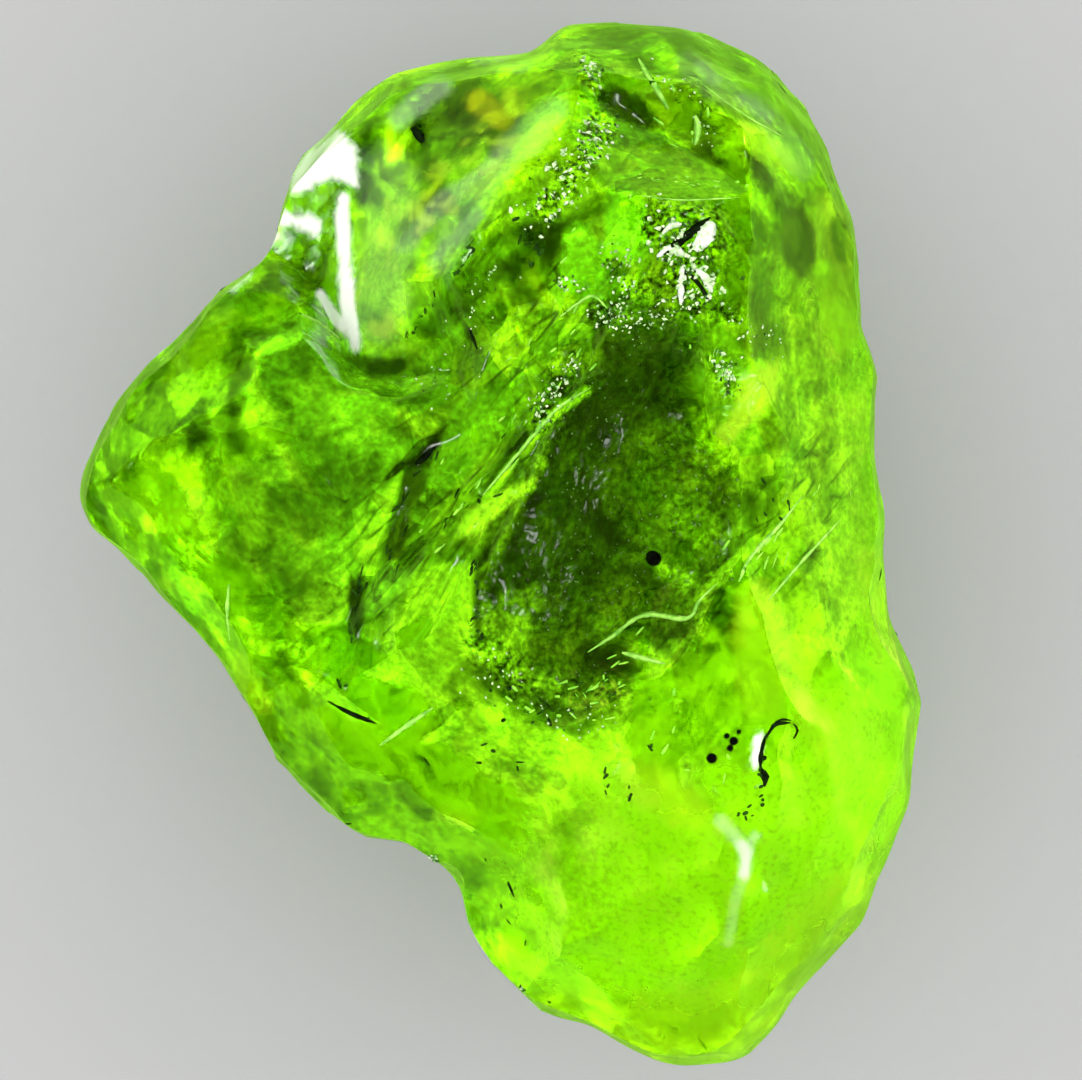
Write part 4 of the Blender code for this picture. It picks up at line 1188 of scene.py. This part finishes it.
def crumb(hit, normal, size):
    """A splinter with its middle on the surface; the size is in pixels across."""
    turned = normal.to_track_quat("Z", "Y")
    spin = dice.uniform(0, math.pi)
    long_way = dice.uniform(*CRUMB_LENGTHS)
    points = []
    for x, y, z in OCTAHEDRON:
        point = Vector((x * long_way, y / long_way, z * CRUMB_HEIGHT))
        point = Vector((
            point.x * math.cos(spin) - point.y * math.sin(spin),
            point.x * math.sin(spin) + point.y * math.cos(spin),
            point.z,
        ))
        point += Vector([dice.uniform(-CRUMB_JITTER, CRUMB_JITTER) for _ in range(3)])
        points.append(hit + turned @ point * (size / PIXELS_PER_MM / 2))
    return points, EIGHT_FACES


def strewn(line, spread, count, sizes):
    """Crumbs scattered along a line of pixels."""
    crumbs = []
    for found in scattered(line, spread, count):
        if found is not None:
            crumbs.append(crumb(*found, dice.uniform(*sizes)))
    return crumbs


print("a crumb has", len(EIGHT_FACES), "faces")

# %% Crumbs on the crushed ridges
CRUSHED_RIDGES = (  # line, spread, count, sizes
    (((586, 68), (596, 82)), 5, 18, (2.0, 7.0)),
    (((608, 125), (580, 160), (560, 195), (535, 222)), 12, 105, (2.0, 7.0)),
    (((660, 235), (680, 262), (700, 290)), 15, 110, (2.0, 7.5)),
    (((615, 260), (622, 300)), 7, 40, (2.0, 4.5)),
    (((602, 316), (650, 322), (704, 304)), 6, 60, (1.8, 5.0)),
    (((600, 320), (650, 330)), 8, 50, (1.5, 4.0)),
    (((555, 287), (578, 290)), 4, 14, (2.0, 5.0)),
    (((578, 365), (556, 390), (535, 418)), 8, 50, (1.8, 5.5)),
    (((718, 362), (728, 386)), 5, 30, (1.8, 5.5)),
    (((720, 320), (768, 348)), 8, 26, (1.5, 4.0)),
    (((470, 655), (500, 690), (560, 716), (610, 706)), 11, 44, (1.2, 3.4)),
    (((500, 660), (530, 672)), 9, 8, (2.0, 4.5)),
    (((500, 260), (470, 330), (430, 400)), 14, 36, (1.5, 3.5)),
    (((650, 70), (690, 110), (700, 150)), 7, 26, (1.5, 4.0)),
)
WINDOW_SPECKS = (
    (((620, 350), (560, 420), (600, 500), (570, 600), (640, 640)), 32, 210, (1.0, 3.0)),
    (((690, 430), (690, 520), (650, 590)), 26, 110, (1.0, 3.0)),
)
RIDGE_CRUMBS, RIDGE_CRUMB_SIZES = 260, (1.5, 6.0)
RIDGE_SPREAD = 0.02
RIDGE_OVER = 0.75  # how near to a ridge a corner has to be


def along_ridges(count, sizes):
    """Crumbs scattered along the ridges of the sides and the back."""
    crumbs = []
    at_side = (corners[:, 2] > SIDES_FROM) & (corners[:, 2] < SIDES_TO)
    on_ridge = np.flatnonzero((ridge > RIDGE_OVER) & at_side)
    for _ in range(count):
        shift = Vector([dice.gauss(0, RIDGE_SPREAD) for _ in range(3)])
        hit, normal, _, _ = surface.find_nearest(Vector(corners[dice.choice(on_ridge)]) + shift)
        crumbs.append(crumb(hit, normal, dice.uniform(*sizes)))
    return crumbs


# Bright crumbs carry a painted glint, dark ones and the window's specks painted shade and dim glints.
crumb_glint_finish = small_finish("crumb_painted_glint", (0.03, 0.14, 0.004), (0.46, 0.52, 0.34), 0.06, 0.2)
dark_finish = small_finish("crumb_shade", (0.0015, 0.006, 0.0004), (0.03, 0.11, 0.004), 0.06, 0.3)
speck_finish = small_finish("window_speck", (0.006, 0.02, 0.001), (0.09, 0.17, 0.05), 0.05, 0.3)
for name, one_in, finish in (("bright_crumbs", 1, crumb_glint_finish), ("dark_crumbs", 2, dark_finish)):
    crumbs = from_rows(strewn, CRUSHED_RIDGES)[::one_in] + along_ridges(RIDGE_CRUMBS, RIDGE_CRUMB_SIZES)
    joined(name, crumbs, finish)
joined("window_specks", from_rows(strewn, WINDOW_SPECKS), speck_finish)

# %% [markdown]
# ## Mineral grains
#
# A few black grains of another mineral grew with the stone. The largest sits in the window, and a
# group in the toe. Each is an icosphere with noise on it, so that it isn't a ball, pressed a little
# flat and half sunk in the surface.

# %% Mineral grains
GRAINS = ((652, 558, 17), (709, 755, 11), (724, 733, 6), (731, 738, 9), (727, 745, 7), (736, 729, 5))
GRAIN_ROUNDS = 2
BULGE, BULGES_PER_MM, FLATTENED = 0.12, 9.0, 0.6


def grain_body(right, down, size):
    """A rounded black grain, size pixels across, a little flattened."""
    hit, normal = on_front(right, down)
    mesh = bmesh.new()
    bmesh.ops.create_icosphere(mesh, subdivisions=GRAIN_ROUNDS, radius=size / PIXELS_PER_MM / 2)
    turned = normal.to_track_quat("Z", "Y")
    points = []
    for corner in mesh.verts:
        bulge = 1.0 + BULGE * noise.noise(corner.co * BULGES_PER_MM + hit)
        points.append(hit + turned @ Vector((corner.co.x, corner.co.y, corner.co.z * FLATTENED)) * bulge)
    faces = [[corner.index for corner in face.verts] for face in mesh.faces]
    mesh.free()
    return points, faces


grain_finish = small_finish("mineral_grain", (0.0004, 0.0006, 0.0003), (0.002, 0.003, 0.001), 0.05, 0.25)
joined("mineral_grains", [grain_body(*grain) for grain in GRAINS], grain_finish, True)

# %% [markdown]
# ## Floor, light and camera
#
# Clear stones look best with light coming through them. Here it comes from a pad of light under the
# stone and from a ring round the horizon that is brighter than the space overhead. Gloss doesn't
# mirror those two, which keeps a grey veil off the stone. It mirrors five small softboxes, for crisp
# highlights, and a faint lime glow from below, as a bright stone lights its own table.

# %% A plain floor
FLOOR_REACH = 600.0
FLOOR_DROP = 0.02
FLOOR_GREY = 0.202


def level_square(name, half):
    """A level square as a mesh, with its middle at the origin and half its side in millimetres."""
    mesh = bpy.data.meshes.new(name)
    points = [(x * half * MM, y * half * MM, 0.0) for x, y in ((-1, -1), (1, -1), (1, 1), (-1, 1))]
    mesh.from_pydata(points, [], [(0, 1, 2, 3)])
    return mesh


floor = in_scene("floor", level_square("floor", FLOOR_REACH))
floor.location.z = -FLOOR_DROP * MM
floor_material, floor_tree = fresh_material("floor")
floor_shader = add_node(floor_tree, "ShaderNodeBsdfPrincipled", None, {
    "Base Color": (FLOOR_GREY, FLOOR_GREY, FLOOR_GREY, 1.0),
    "Roughness": 0.9,
    "Specular IOR Level": 0.0,
})
shows(floor_tree, floor_shader)
floor.data.materials.append(floor_material)
floor.visible_glossy = False
floor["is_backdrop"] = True
print("floor laid")

# %% Light all round the horizon
RING_STRENGTH = 5.5
OVERHEAD = 2.0
RING_TOP, RING_FADE = 0.75, 0.25
WHITE_LIGHT = (1.0, 1.0, 1.0, 1.0)
world = bpy.data.worlds.new("studio")
world.use_nodes = True
sky = world.node_tree
sky.nodes.clear()
direction = add_node(sky, "ShaderNodeTexCoord").outputs["Generated"]
parts = add_node(sky, "ShaderNodeSeparateXYZ", None, {"Vector": direction})
height = Varying(parts.outputs["Z"])
ring = ((RING_TOP - height) * (1 / RING_FADE)).clamped()
strength = OVERHEAD + ring * (RING_STRENGTH - OVERHEAD)
background = add_node(sky, "ShaderNodeBackground", None, {"Color": WHITE_LIGHT, "Strength": strength})
add_node(sky, "ShaderNodeOutputWorld", None, {"Surface": background.outputs[0]})
world.cycles_visibility.glossy = False
world.cycles.sampling_method = "NONE"
bpy.context.scene.world = world
print("ring of light up to", round(math.degrees(math.asin(RING_TOP))), "degrees above the horizon")

# %% Panels of light
def panel_of_light(name, size, strength, colour=WHITE_LIGHT):
    """A square panel of light, lying level at the origin, that neither the camera nor the floor sees."""
    panel = in_scene(name, level_square(name, size / 2))
    panel.visible_camera = False
    panel.visible_shadow = False
    panel.visible_diffuse = False
    material, tree = fresh_material(name)
    shows(tree, add_node(tree, "ShaderNodeEmission", None, {"Color": colour, "Strength": strength}))
    material.cycles.emission_sampling = "NONE"
    panel.data.materials.append(material)
    panel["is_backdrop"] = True
    return panel


def softbox(bearing, elevation, size, strength):
    """A panel that faces the stone from afar, and that only its gloss shows."""
    panel = panel_of_light(f"softbox_{bearing}", size, strength)
    turn, rise = math.radians(bearing), math.radians(elevation)
    away = Vector((math.cos(turn) * math.cos(rise), math.sin(turn) * math.cos(rise), math.sin(rise)))
    panel.location = away * SOFTBOX_DISTANCE * MM
    panel.rotation_euler = away.to_track_quat("Z", "Y").to_euler()
    panel.visible_transmission = False


PAD_SIZE = 90.0
PAD_STRENGTH = 1.9
pad = panel_of_light("light_pad", PAD_SIZE, PAD_STRENGTH)
pad.location.z = -FLOOR_DROP / 2 * MM
pad.visible_glossy = False
GLOW_SIZE, GLOW_STRENGTH, GLOW_DEPTH = 900.0, 0.6, 0.5
GLOW_LIME = (0.45, 0.95, 0.10, 1.0)
glow = panel_of_light("rim_glow", GLOW_SIZE, GLOW_STRENGTH, GLOW_LIME)
glow.location.z = -GLOW_DEPTH * MM
glow.visible_transmission = False
SOFTBOX_DISTANCE = 110.0
SOFTBOXES = (  # bearing, elevation, size, strength
    (180, 17, 7.0, 9.0), (322, 28, 5.0, 9.0), (67, 18, 7.0, 9.0), (100, 62, 2.5, 3.5), (250, 62, 2.5, 3.5),
)
for row in SOFTBOXES:
    softbox(*row)
print("light pad, glow and", len(SOFTBOXES), "softboxes in place")

# %% Camera, straight above
WAIST = 3.8  # the height of the stone's widest line, which is seen at the picture's scale
LENS, SENSOR = 500.0, 36.0
middle = [(size / 2 - at) / PIXELS_PER_MM for size, at in zip(PICTURE_SIZE, STONE_MIDDLE)]
camera_data = bpy.data.cameras.new("camera")
camera_data.lens = LENS
camera_data.sensor_width = SENSOR
camera_data.clip_start = 0.001
camera = in_scene("camera", camera_data)
distance = PICTURE_SIZE[0] / PIXELS_PER_MM * LENS / SENSOR
camera.location = Vector((middle[0], -middle[1], WAIST + distance)) * MM
scene = bpy.context.scene
scene.camera = camera
scene.view_settings.view_transform = "Standard"
scene.cycles.max_bounces = 12
scene.cycles.transmission_bounces = 12
scene.cycles.glossy_bounces = 8
scene.cycles.diffuse_bounces = 3
scene.cycles.sample_clamp_indirect = 6.0
scene.cycles.use_denoising = True
print("camera", round(distance), "mm above the stone")

# %% [markdown]
# ## The size, and the end
#
# The dressed stone has to be as large as the plain solid, so both boxes are written down side by side.
# The last line prints the dressed stone's box, and ends the lesson.

# %% Sizes before and after
new_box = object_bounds()
[[list(corner) for corner in box] for box in (cad_box, new_box)]
print("box of the dressed stone:", [list(corner) for corner in new_box])
